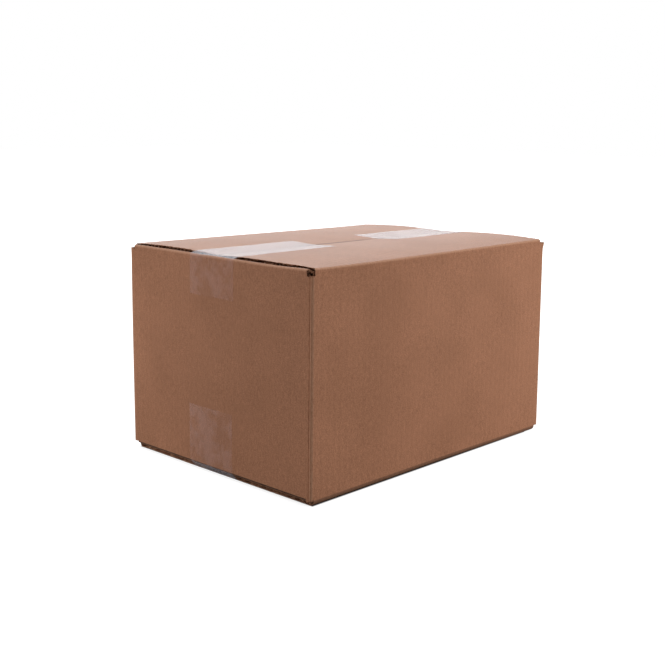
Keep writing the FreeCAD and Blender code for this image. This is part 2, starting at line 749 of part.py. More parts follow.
def draw_strip_on_fold(sketch, tape):
    """Section of a strip that lies flat on a fold, seen along the strip."""
    outline = Outline(sketch, "strip")
    near, far = -tape.near.number, tape.far.number
    low = tape.radius.number
    high = low + tape.thickness.number
    corners = [(near, low), (0, low), (far, low), (far, high), (0, high), (near, high)]
    lines = [outline.line(a, b) for a, b in zip(corners, corners[1:] + corners[:1])]
    for first, second in zip(lines, lines[1:] + lines[:1]):
        outline.join((first, END, second, START))
    for level in (lines[0], lines[1], lines[3], lines[4]):
        outline.rule("Horizontal", level)
    for upright in (lines[2], lines[5]):
        outline.rule("Vertical", upright)
    outline.rule("PointOnObject", lines[0], END, -2)
    outline.rule("PointOnObject", lines[3], END, -2)
    outline.height("face", tape.radius, lines[0], START)
    outline.size("thickness", tape.thickness, "Distance", lines[2])
    outline.across("near", tape.near, -1, lines[0], START)
    outline.across("far", tape.far, 1, lines[2], START)


def draw_wrap(sketch, tape, end, bend_up, lean, tip_up):
    """Side view of a strip round the inner flap's fold and down the end panel."""
    outline = Outline(sketch, "wrap")
    centre = (tape.bend_across.number * end, bend_up.number)
    low = tape.radius.number
    high = low + tape.thickness.number
    turn = 90 - lean.number
    angles = (0, turn) if end > 0 else (180 - turn, 180)
    panel_end, crown_end = (START, END) if end > 0 else (END, START)
    inner = outline.arc(centre, low, *angles)
    outer = outline.arc(centre, high, *angles)
    slope = math.radians(turn if end > 0 else 180 - turn)
    rim = [(centre[0] + r * math.cos(slope), centre[1] + r * math.sin(slope))
           for r in (low, high)]
    landing = outline.line(*rim)
    inner_across, outer_across = centre[0] + low * end, centre[0] + high * end
    tip = tip_up.number
    inner_leg = outline.line((inner_across, centre[1]), (inner_across, tip))
    tip_edge = outline.line((inner_across, tip), (outer_across, tip))
    outer_leg = outline.line((outer_across, tip), (outer_across, centre[1]))
    outline.blend((inner, panel_end, inner_leg, START), (outer_leg, END, outer, panel_end))
    outline.join((inner, crown_end, landing, START), (landing, END, outer, crown_end),
                 (inner_leg, END, tip_edge, START), (tip_edge, END, outer_leg, START),
                 (inner, CENTRE, outer, CENTRE))
    outline.rule("Vertical", inner_leg)
    outline.rule("Vertical", outer_leg)
    outline.rule("Horizontal", tip_edge)
    outline.rule("PointOnObject", inner, CENTRE, landing)
    outline.size("radius", tape.radius, "Radius", inner)
    outline.size("thickness", tape.thickness, "Distance", tip_edge)
    outline.across("bend_across", tape.bend_across, end, inner, CENTRE)
    outline.height("bend_up", bend_up, inner, CENTRE)
    outline.height("landing", bend_up + tape.radius * lean.cosine(), landing, START)
    outline.height("tip", tip_up, tip_edge, START)


def make_top_tape(doc, sizes, carton, name, end, run):
    """A strip over the top seam at one end of the box, down onto the end panel."""
    body = new_body(doc, name)
    tape = Tape(sizes, carton, sizes["top_tape_shift"])
    bend_up = carton.lip.crest - carton.outer_radius
    edge_across = carton.outer_side - tape.bend_across
    edge_up = carton.crown.seam_height() - bend_up
    slant = (edge_across * edge_across + edge_up * edge_up).root()
    lean = lean_of(edge_across, edge_up) + (tape.radius / slant).arc_cosine()
    section = new_sketch(body, f"{name}_section", "YZ_Plane", carton.outer_side * end)
    draw_strip_on_crowns(section, tape, carton.crown)
    pad(body, f"{name}_on_flaps", section, run, back=end > 0)
    landing = new_sketch(body, f"{name}_landing", "YZ_Plane", tape.bend_across * end,
                         lean * end, bend_up)
    draw_strip_on_fold(landing, tape)
    doc.recompute()
    bridge = body.newObject("PartDesign::AdditiveLoft", f"{name}_bridge")
    bridge.Profile = section
    bridge.Sections = [landing]
    bridge.Ruled = True
    doc.recompute()
    wrap = new_sketch(body, f"{name}_wrap_section", "XZ_Plane")
    tip_up = carton.lip.crest - sizes["top_tape_drop"]
    draw_wrap(wrap, tape, end, bend_up, lean, tip_up)
    pad_both_ways(body, f"{name}_wrap", wrap, tape.near, tape.far)
    return body


def draw_bottom_strip(sketch, tape, edge, bend_up, tip_up):
    """Side view of the strip under the box, round both inner folds, up both end panels."""
    outline = Outline(sketch, "strip")
    low = tape.radius.number
    high = low + tape.thickness.number
    thickness, side = tape.thickness.number, edge.number
    across = (edge - tape.bend_across).number
    drop = (bend_up - tape.thickness).number
    lean = math.degrees(math.atan2(across, drop)) + math.degrees(
        math.acos(low / math.hypot(across, drop)))
    slope = math.radians(90 - lean)
    corner = side + thickness * math.tan((math.pi / 2 - slope) / 2)
    under = outline.line((-corner, 0), (corner, 0))
    upper = outline.line((-side, thickness), (side, thickness))
    for end, name, point in ((-1, "front", START), (1, "rear", END)):
        centre = (tape.bend_across.number * end, bend_up.number)
        angles = (lean - 90, 0) if end > 0 else (180, 270 - lean)
        panel_end, flap_end = (END, START) if end > 0 else (START, END)
        arcs, slants, legs = [], [], []
        for radius, start in ((low, (side * end, thickness)), (high, (corner * end, 0))):
            arc = outline.arc(centre, radius, *angles)
            landing = (centre[0] + radius * math.cos(slope) * end,
                       centre[1] - radius * math.sin(slope))
            slants.append(outline.line(start, landing))
            foot = (centre[0] + radius * end, centre[1])
            legs.append(outline.line(foot, (foot[0], tip_up.number)))
            outline.blend((slants[-1], END, arc, flap_end), (arc, panel_end, legs[-1], START))
            outline.rule("Vertical", legs[-1])
            arcs.append(arc)
        tip = outline.line((centre[0] + low * end, tip_up.number),
                           (centre[0] + high * end, tip_up.number))
        outline.join((upper, point, slants[0], START), (under, point, slants[1], START),
                     (legs[0], END, tip, START), (tip, END, legs[1], END),
                     (arcs[0], CENTRE, arcs[1], CENTRE))
        outline.rule("Horizontal", tip)
        outline.rule("Parallel", *slants)
        tagged = Outline(sketch, name)
        tagged.across("edge", edge, end, upper, point)
        tagged.across("bend_across", tape.bend_across, end, arcs[0], CENTRE)
        tagged.height("bend_up", bend_up, arcs[0], CENTRE)
        tagged.size("radius", tape.radius, "Radius", arcs[0])
        tagged.size("thickness", tape.thickness, "Distance", tip)
        tagged.height("tip", tip_up, tip, START)
    outline.rule("Horizontal", under)
    outline.rule("Horizontal", upper)
    outline.rule("PointOnObject", under, START, -1)
    outline.height("upper", tape.thickness, upper, START)


def make_bottom_tape(doc, sizes, carton, name):
    """One strip along the whole bottom seam and up both end panels."""
    body = new_body(doc, name)
    tape = Tape(sizes, carton, sizes["bottom_tape_shift"])
    bend_up = carton.inner_bottom + carton.outer_radius
    tip_up = carton.inner_bottom + sizes["bottom_tape_rise"]
    sketch = new_sketch(body, f"{name}_section", "XZ_Plane")
    draw_bottom_strip(sketch, tape, carton.outer_side, bend_up, tip_up)
    pad_both_ways(body, f"{name}_strip", sketch, tape.near, tape.far)
    return body


# Checks and files


def check_document(doc, bodies):
    """Stop if anything failed to compute, or if a piece isn't one valid solid."""
    for item in doc.Objects:
        if "Invalid" in item.State or "Error" in item.State:
            raise RuntimeError(f"{item.Name} failed: {item.State}")
    for body in bodies:
        shape = body.Shape
        if shape.isNull() or not shape.isValid() or len(shape.Solids) != 1:
            raise RuntimeError(f"{body.Label} is not one valid solid")


def main():
    doc = FreeCAD.newDocument("closed_carton")
    sizes = fill_sheet(doc)
    carton = Carton(sizes)
    bodies = [
        make_carton(doc, carton),
        make_top_tape(doc, sizes, carton, "tape_top_front", -1, sizes["front_tape_run"]),
        make_top_tape(doc, sizes, carton, "tape_top_rear", 1, sizes["rear_tape_run"]),
        make_bottom_tape(doc, sizes, carton, "tape_bottom"),
    ]
    doc.recompute()
    check_document(doc, bodies)
    os.makedirs("parts", exist_ok=True)
    for body in bodies:
        body.Shape.exportStep(os.path.join("parts", f"{body.Label}.step"))
        box = body.Shape.BoundBox
        print(f"{body.Label}: {body.Shape.Volume / 1000:.2f} cm3, "
              f"{box.XLength:.2f} x {box.YLength:.2f} x {box.ZLength:.2f} mm")


main()
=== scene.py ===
"""A closed cardboard box with taped seams, on a white studio floor."""

import logging
import math
from dataclasses import dataclass
from enum import Enum

import bmesh
import bpy
import numpy as np
from mathutils import Matrix, Vector


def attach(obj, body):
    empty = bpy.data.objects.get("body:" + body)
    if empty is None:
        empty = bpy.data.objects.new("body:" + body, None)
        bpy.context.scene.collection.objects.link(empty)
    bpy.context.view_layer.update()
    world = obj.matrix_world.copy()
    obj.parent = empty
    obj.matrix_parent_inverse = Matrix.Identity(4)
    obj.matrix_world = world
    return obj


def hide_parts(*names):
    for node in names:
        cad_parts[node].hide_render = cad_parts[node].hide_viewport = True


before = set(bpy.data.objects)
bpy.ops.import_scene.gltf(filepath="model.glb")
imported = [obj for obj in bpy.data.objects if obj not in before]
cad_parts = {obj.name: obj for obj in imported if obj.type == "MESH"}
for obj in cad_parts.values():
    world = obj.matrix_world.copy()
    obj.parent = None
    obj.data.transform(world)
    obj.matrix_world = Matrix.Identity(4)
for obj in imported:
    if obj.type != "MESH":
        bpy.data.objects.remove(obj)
report = logging.getLogger("carton")
MM = 0.001
WELD = 0.002 * MM
WHITE = (1.0, 1.0, 1.0, 1.0)
Colour = tuple[float, float, float, float]
Place = tuple[float, float, float]
Pair = tuple[float, float]
Socket = bpy.types.NodeSocket
Array = np.ndarray


# Finishes


class Recipe:
    """The node tree of a material or world, with short ways to add and join nodes."""

    def __init__(self, owner: bpy.types.ID) -> None:
        """Start with no nodes in the tree of this owner."""
        owner.use_nodes = True
        self.owner = owner
        self.tree = owner.node_tree
        self.tree.nodes.clear()

    def plug(self, socket: Socket, value: object) -> None:
        """Give an input its value, or link it where the value is a socket.

        Args:
            socket: The input.
            value: A number, a colour or another node's output.
        """
        if isinstance(value, Socket):
            self.tree.links.new(value, socket)
        else:
            socket.default_value = value

    def add(self, kind: str, *inputs: object, **settings: object) -> bpy.types.Node:
        """Add a node, set its properties and plug its first inputs.

        Args:
            kind: The node's type without the leading ShaderNode.
            inputs: What its inputs get, in order.
            settings: Properties of the node, by name.

        Returns:
            The new node.
        """
        node = self.tree.nodes.new(f"ShaderNode{kind}")
        for name, value in settings.items():
            setattr(node, name, value)
        for socket, value in zip(node.inputs, inputs):
            self.plug(socket, value)
        return node

    def fed(self, kind: str, **inputs: object) -> Socket:
        """Add a node and plug inputs by their names.

        Args:
            kind: The node's type without the leading ShaderNode.
            inputs: What the inputs get, by input name with _ for a space.

        Returns:
            The node's first output.
        """
        node = self.add(kind)
        for name, value in inputs.items():
            self.plug(node.inputs[name.replace("_", " ")], value)
        return node.outputs[0]

    def math(self, operation: str, *terms: object) -> Socket:
        """The value of a Math node over numbers and sockets."""
        return self.add("Math", *terms, operation=operation).outputs[0]

    def apart(self, first: object, second: object) -> Socket:
        """How far two values are from each other."""
        return self.math("ABSOLUTE", self.math("SUBTRACT", first, second))

    def mark(self, name: str) -> Socket:
        """Read one of the mesh's marks."""
        return self.add("Attribute", attribute_name=name).outputs["Fac"]

    def noise(self, place: Socket, scale: float, detail: float = 3.0,
              roughness: float = 0.6) -> Socket:
        """Noise around 0.5, at a number of waves to the metre with finer ones on top."""
        return self.fed("TexNoise", Vector=place, Scale=scale, Detail=detail,
                        Roughness=roughness)

    def spread(self, value: Socket, low: float, high: float, to_low: float = 0.0,
               to_high: float = 1.0) -> Socket:
        """Map low to high onto another range, clamped at both ends."""
        return self.add("MapRange", value, low, high, to_low, to_high).outputs[0]

    def tint(self, share: object, first: object, second: object,
             blend: str = "MIX") -> Socket:
        """Blend two colours.

        Args:
            share: How much of the second.
            first: A colour or socket.
            second: A colour or socket.
            blend: The Mix node's blend type.

        Returns:
            The blended colour.
        """
        node = self.add("Mix", data_type="RGBA", blend_type=blend)
        for index, value in ((0, share), (6, first), (7, second)):
            self.plug(node.inputs[index], value)
        return node.outputs[2]

    def show(self, shader: Socket, output: str = "OutputMaterial") -> bpy.types.ID:
        """Send a shader to the output and return the owner."""
        self.add(output, shader)
        return self.owner


@dataclass(frozen=True)
class KraftPaper:
    """Matt brown paper over fluted board.

    Fibres and fine specks colour it, the flutes show as a faint washboard, folds are
    rubbed lighter and carry a painted highlight, seams and the undersides of the bottom
    bends get painted shade, and cut edges show the hollows between the liners painted
    dark as shade.
    """

    colour: Colour = (0.365, 0.168, 0.095, 1.0)
    dark: Colour = (0.325, 0.149, 0.083, 1.0)
    # Rubbed wear, and a painted highlight along the folds.
    rubbed_and_highlit: Colour = (0.53, 0.31, 0.20, 1.0)
    # Painted shade in the top seam and under the bottom bends.
    soiled: Colour = (0.09, 0.052, 0.034, 1.0)
    # Painted shade in the open flutes of cut edges.
    hollow: Colour = (0.035, 0.014, 0.008, 1.0)
    clouds: float = 18.0
    grains: float = 1500.0
    grain_tone: Pair = (0.72, 1.28)
    fibres: float = 700.0
    fibre_tone: Pair = (0.90, 1.10)
    fibre_stretch: Place = (1.0, 0.3, 1.0)
    roughness: float = 0.52
    sheen: float = 0.15
    flute: float = 0.0064
    flute_depth: float = 0.00003
    grain_depth: float = 0.00006
    medium_swing: float = 0.33

    def make(self) -> bpy.types.Material:
        """Build the paper on the board's own coordinates and marks."""
        recipe = Recipe(bpy.data.materials.new("kraft_paper"))
        place = recipe.add("TexCoord").outputs["Object"]
        board = recipe.add("UVMap", uv_map="board").outputs[0]
        grain = recipe.noise(place, self.grains, 2.0)
        strands = recipe.add("VectorMath", board, self.fibre_stretch, operation="MULTIPLY")
        fibres = recipe.noise(strands.outputs[0], self.fibres)
        wave = self.wave(recipe, board)
        opening = self.openness(recipe, wave)
        height = recipe.math("ADD", recipe.math("MULTIPLY", wave, self.flute_depth),
                             recipe.math("MULTIPLY", grain, self.grain_depth))
        cloud = recipe.spread(recipe.noise(place, self.clouds, 5.0, 0.55), 0.35, 0.65)
        paper = self.paper(recipe, cloud, grain, fibres)
        # Rubbed wear with a painted fold highlight, painted shade in seams and under the bottom
        # bends, and painted shade in open flutes.
        for share, colour in ((self.worn_and_highlit(recipe, fibres), self.rubbed_and_highlit),
                              (recipe.mark("soil"), self.soiled), (opening, self.hollow)):
            paper = recipe.tint(share, paper, colour)
        # No gloss in the open flutes, which are painted dark as shade.
        return recipe.show(recipe.fed(
            "BsdfPrincipled", Base_Color=paper, Roughness=self.roughness,
            Specular_IOR_Level=recipe.spread(opening, 0.0, 0.5, self.sheen, 0.0),
            Normal=recipe.fed("Bump", Height=height, Strength=1.0, Distance=1.0)))

    def paper(self, recipe: Recipe, cloud: Socket, grain: Socket, fibres: Socket) -> Socket:
        """Colour of clean paper: clouds of two browns, times the specks and fibres.

        Args:
            recipe: The node tree.
            cloud: Share of the darker brown.
            grain: Noise of the specks.
            fibres: Noise of the fibres.

        Returns:
            The colour.
        """
        speck = recipe.math("MULTIPLY", recipe.spread(grain, 0.25, 0.75, *self.grain_tone),
                            recipe.spread(fibres, 0.3, 0.7, *self.fibre_tone))
        grey = recipe.add("CombineColor", speck, speck, speck).outputs[0]
        return recipe.tint(1.0, recipe.tint(cloud, self.colour, self.dark), grey, "MULTIPLY")

    def worn_and_highlit(self, recipe: Recipe, fibres: Socket) -> Socket:
        """Rubbed wear and painted fold highlight: its mark, broken up by the fibres."""
        return recipe.math("MULTIPLY", recipe.mark("wear"),
                           recipe.spread(fibres, 0.35, 0.6, 0.25, 0.8))

    def wave(self, recipe: Recipe, board: Socket) -> Socket:
        """Sine of the distance across the flutes, one turn to a flute."""
        across = recipe.add("SeparateXYZ", board).outputs[0]
        return recipe.math("SINE", recipe.math("MULTIPLY", across,
                                               2.0 * math.pi / self.flute))

    def openness(self, recipe: Recipe, wave: Socket) -> Socket:
        """How open a cut edge is at a point, which sets how much painted shade it gets.

        Edges across the flutes (cut 1) show a wave of medium between openings painted dark
        as shade: the wave's middle line is half the thickness plus a third times the
        flutes' sine. Edges along the flutes (cut 0.5) are painted dark as shade between
        the liners.

        Args:
            recipe: The node tree.
            wave: The flutes' sine.

        Returns:
            0 on paper, 1 in an opening, fully painted with shade.
        """
        cut, through = recipe.mark("cut"), recipe.mark("through")
        middle = recipe.math("ADD", recipe.math("MULTIPLY", wave, self.medium_swing), 0.5)
        beside_medium = recipe.spread(recipe.apart(through, middle), 0.10, 0.15)
        between_liners = recipe.spread(recipe.apart(through, 0.5), 0.35, 0.39, 1.0, 0.0)
        waved = recipe.math("GREATER_THAN", cut, 0.75)
        plain = recipe.math("MULTIPLY", recipe.math("SUBTRACT", 1.0, waved),
                            recipe.spread(cut, 0.0, 0.5))
        shown = recipe.math("ADD", recipe.math("MULTIPLY", waved, beside_medium), plain)
        return recipe.math("MULTIPLY", shown, between_liners)


@dataclass(frozen=True)
class ClearTape:
    """Clear glossy film: see-through when faced, bright where it slants.

    The film's share is a constant plus the sheen times the cube of the slant, plus a
    mottled veil of glue that has not wetted the paper, up to a limit. Faced, it has a
    colour near the paper's, the veil's tint with painted light that makes up for the
    film's own shadow on the paper; slanting, a pale colour that paints part of its
    reflection of the bright surroundings.
    """

    # Pale colour where the film slants: painted reflection of the bright surroundings, on top of
    # the film's real gloss.
    colour: Colour = (0.66, 0.69, 0.77, 1.0)
    # Colour where the film is faced: the glue veil's tint, and painted light that makes up for
    # the film's own shadow on the paper.
    haze_and_painted_light: Colour = (0.71, 0.40, 0.31, 1.0)
    roughness: float = 0.30
    gloss: float = 0.35
    reflect: float = 0.01
    sheen: float = 0.43
    most: float = 0.22
    veil: float = 0.13
    blotches: float = 55.0
    ripples: float = 160.0

    def make(self) -> bpy.types.Material:
        """Build the film."""
        recipe = Recipe(bpy.data.materials.new("clear_film"))
        place = recipe.add("TexCoord").outputs["Object"]
        slant = recipe.math("POWER", recipe.add("LayerWeight", 0.5).outputs["Facing"], 3.0)
        gleam = recipe.math("ADD", recipe.math("MULTIPLY", slant, self.sheen), self.reflect)
        blotch = recipe.noise(place, self.blotches, 4.0)
        veil = recipe.math("MULTIPLY", recipe.spread(blotch, 0.42, 0.56, 0.1, 1.0), self.veil)
        share = recipe.math("MINIMUM", recipe.math("ADD", gleam, veil), self.most)
        # Faced, the veil's tint with painted light; slanting, the painted reflection.
        paint = recipe.tint(recipe.spread(slant, 0.03, 0.35), self.haze_and_painted_light, self.colour)
        bump = recipe.fed("Bump", Height=recipe.noise(place, self.ripples), Strength=0.12,
                          Distance=0.0004)
        film = recipe.fed("BsdfPrincipled", Base_Color=paint, Roughness=self.roughness,
                          Specular_IOR_Level=self.gloss, Normal=bump)
        clear = recipe.add("BsdfTransparent").outputs[0]
        return recipe.show(recipe.add("MixShader", share, clear, film).outputs[0])


# Shapes


def wander(u: Array, v: Array, wave: float, seed: int) -> Array:
    """Smooth irregular waves, about -1 to 1.

    Each point gets the sum of ten sine waves of lengths around the given one, running
    in seeded directions across (u, v), over the root of their number.

    Args:
        u: First coordinate.
        v: Second coordinate.
        wave: Typical length of a wave, in the coordinates' unit.
        seed: Which waves.

    Returns:
        The height of the waves at each point.
    """
    waves = 10
    draw = np.random.default_rng(seed)
    turn = draw.uniform(0.0, 2.0 * math.pi, waves)
    pitch = 2.0 * math.pi / (wave * draw.uniform(0.6, 1.7, waves))
    phase = draw.uniform(0.0, 2.0 * math.pi, waves)
    u, v = np.broadcast_arrays(np.asarray(u, float), np.asarray(v, float))
    swing = u[..., None] * (pitch * np.cos(turn)) + v[..., None] * (pitch * np.sin(turn))
    return np.sin(swing + phase).sum(axis=-1) / math.sqrt(waves)


def part(value: Array, start: float, length: float) -> Array:
    """Share of the way from start to start plus length, clamped to 0 to 1."""
    return np.clip((value - start) / length, 0.0, 1.0)


def ramp(value: Array, start: float, length: float) -> Array:
    """The same share with smooth ends: three squares less two cubes."""
    share = part(value, start, length)
    return share * share * (3.0 - 2.0 * share)


def shares(count: int) -> Array:
    """Even steps from 0 to 1, in a column."""
    return np.linspace(0.0, 1.0, count)[:, None]


def mix(start: Array, end: Array, share: Array) -> Array:
    """Go straight from start to end by a share of the way."""
    return start * (1.0 - share) + end * share


def bend(centre: Pair, radius: float, start: float, end: float, count: int) -> Array:
    """Points of an arc: centre plus radius times the cosine and sine of the turn.

    Args:
        centre: Middle of the arc.
        radius: Its radius.
        start: First angle, in degrees.
        end: Last angle, in degrees.
        count: Number of points.

    Returns:
        The points, one a row.
    """
    turn = np.radians(np.linspace(start, end, count))
    return np.column_stack((centre[0] + radius * np.cos(turn),
                            centre[1] + radius * np.sin(turn)))


def run(start: Pair, end: Pair, count: int) -> Array:
    """Evenly spaced points of a straight stretch, without its last one."""
    return mix(np.asarray(start), np.asarray(end), shares(count + 1)[:-1])


def travelled(points: Array) -> Array:
    """Length travelled along a line of points up to each of them."""
    steps = np.linalg.norm(np.diff(points, axis=0), axis=1)
    return np.concatenate(([0.0], np.cumsum(steps)))


class Skin:
    """Grids of points in millimetres, gathered into one mesh."""

    FLAT = ("across", "along")
    SHADE = ("cut", "through", "wear", "soil")

    def __init__(self) -> None:
        """Start with no grids."""
        self.points: list[Array] = []
        self.faces: list[Array] = []
        self.marks: dict[str, list[Array]] = {name: [] for name in self.FLAT + self.SHADE}
        self.count = 0

    def grid(self, points: Array, flip: bool = False, **marks: object) -> None:
        """Add a grid of points and the quads between them.

        Args:
            points: Rows by columns by three.
            flip: Turn the faces over.
            marks: Values for the mesh's attributes, each an array or a number.
        """
        rows, columns = points.shape[:2]
        index = np.arange(rows * columns).reshape(rows, columns) + self.count
        corners = [index[:-1, :-1], index[1:, :-1], index[1:, 1:], index[:-1, 1:]]
        if flip:
            corners.reverse()
        self.faces.append(np.stack(corners, axis=-1).reshape(-1, 4))
        self.points.append(points.reshape(-1, 3))
        for name, store in self.marks.items():
            value = np.broadcast_to(np.asarray(marks.get(name, 0.0), float), (rows, columns))
            store.append(value.reshape(-1))
        self.count += rows * columns

    def piece(self, name: str, material: bpy.types.Material,
              sharp: float = 35.0) -> bpy.types.Object:
        """Make the mesh and its object, with shared edges merged and corners kept.

        Args:
            name: The piece's name.
            material: What it is made of.
            sharp: Edges that turn more than this many degrees stay crisp.

        Returns:
            The object, in metres.
        """
        points = np.concatenate(self.points) * MM
        faces = np.concatenate(self.faces)
        mesh = bpy.data.meshes.new(name)
        mesh.from_pydata(points, [], faces)
        mesh.shade_smooth()
        layer = mesh.uv_layers.new(name="board")
        flat = [np.concatenate(self.marks[key]) * MM for key in self.FLAT]
        layer.data.foreach_set("uv", np.column_stack(flat)[faces.ravel()].ravel())
        for key in self.SHADE:
            store = mesh.attributes.new(key, "FLOAT", "POINT")
            store.data.foreach_set("value", np.concatenate(self.marks[key]))
        tool = bmesh.new()
        tool.from_mesh(mesh)
        bmesh.ops.remove_doubles(tool, verts=tool.verts, dist=WELD)
        tool.to_mesh(mesh)
        tool.free()
        mesh.set_sharp_from_angle(angle=math.radians(sharp))
        mesh.materials.append(material)
        piece = bpy.data.objects.new(name, mesh)
        bpy.context.scene.collection.objects.link(piece)
        report.info("%s: %d faces", name, len(mesh.polygons))
        return piece


# The carton


@dataclass(frozen=True)
class BoardSizes:
    """Sizes of the folded board in millimetres, as the part's source gives them."""

    length: float = 290.0
    width: float = 206.0
    height: float = 172.0
    board: float = 2.7
    liner: float = 0.35
    outside: float = 1.9
    inside: float = 0.5
    sag_outside: float = 4.0
    sag_inside: float = 1.3
    lip_drop: float = 0.3
    lip_foot: float = 0.9
    top_gap: float = 0.15
    bottom_gap: float = 2.2
    seam_gap: float = 0.8
    crown: float = 1.4
    slot_setback: float = 5.5
    slot_depth: float = 4.3
    bottom_slot_depth: float = 3.4
    joint_setback: float = 1.0
    joint_clearance: float = 0.5
    glue_tab: float = 35.0
    tab_taper: float = 9.0
    hollow: float = 3.2
    tape: float = 0.08

    @property
    def half_length(self) -> float:
        """Outside of an end panel from the middle."""
        return self.length / 2.0

    @property
    def half_width(self) -> float:
        """Outside of a long panel from the middle."""
        return self.width / 2.0

    @property
    def top(self) -> float:
        """Level of the outer flaps' folds."""
        return self.tape + self.height

    @property
    def crest(self) -> float:
        """Level of the lip along an end panel's top fold."""
        return self.top - self.lip_drop

    @property
    def under_top(self) -> float:
        """Level of the inner flaps on top."""
        return self.top - self.board - self.top_gap

    @property
    def over_bottom(self) -> float:
        """Level of the inner flaps below."""
        return self.tape + self.board + self.bottom_gap

    @property
    def slot_top(self) -> float:
        """Floor of the slots on top."""
        return self.crest - self.slot_depth

    @property
    def slot_bottom(self) -> float:
        """Roof of the slots below."""
        return self.over_bottom + self.bottom_slot_depth

    @property
    def outer_side(self) -> float:
        """Side edge of an outer flap, along X."""
        return self.half_length - self.slot_setback

    @property
    def inner_side(self) -> float:
        """Side edge of an inner flap, along Y."""
        return self.half_width - self.slot_setback

    @property
    def joint_side(self) -> float:
        """Side edge of an inner flap beside the glued joint."""
        return self.half_width - self.board - self.joint_clearance

    @property
    def crown_radius(self) -> float:
        """Radius of the long arc of an outer flap on top, on its outer face."""
        arm = self.half_width / 2.0 - self.outside
        return (arm ** 2 + self.crown ** 2) / (2.0 * self.crown) + self.outside

    @property
    def crown_centre(self) -> Pair:
        """Middle of that arc: across and up."""
        return self.half_width / 2.0, self.top + self.crown - self.crown_radius

    def crown_level(self, across: Array) -> Array:
        """Outer face of the top: centre plus the root of radius squared less run squared.

        Args:
            across: Distance from the middle of the box, in Y.

        Returns:
            The level.
        """
        middle, up = self.crown_centre
        run_in = np.abs(across) - middle
        return up + np.sqrt(self.crown_radius ** 2 - run_in ** 2)


class Panel(Enum):
    """The four walls, each with the sign of its side."""

    FRONT = ("end", -1)
    FAR = ("long", 1)
    REAR = ("end", 1)
    NEAR = ("long", -1)

    @property
    def long(self) -> bool:
        """Whether the wall runs along X."""
        return self.value[0] == "long"

    @property
    def side(self) -> int:
        """Which side of the box it stands on."""
        return self.value[1]


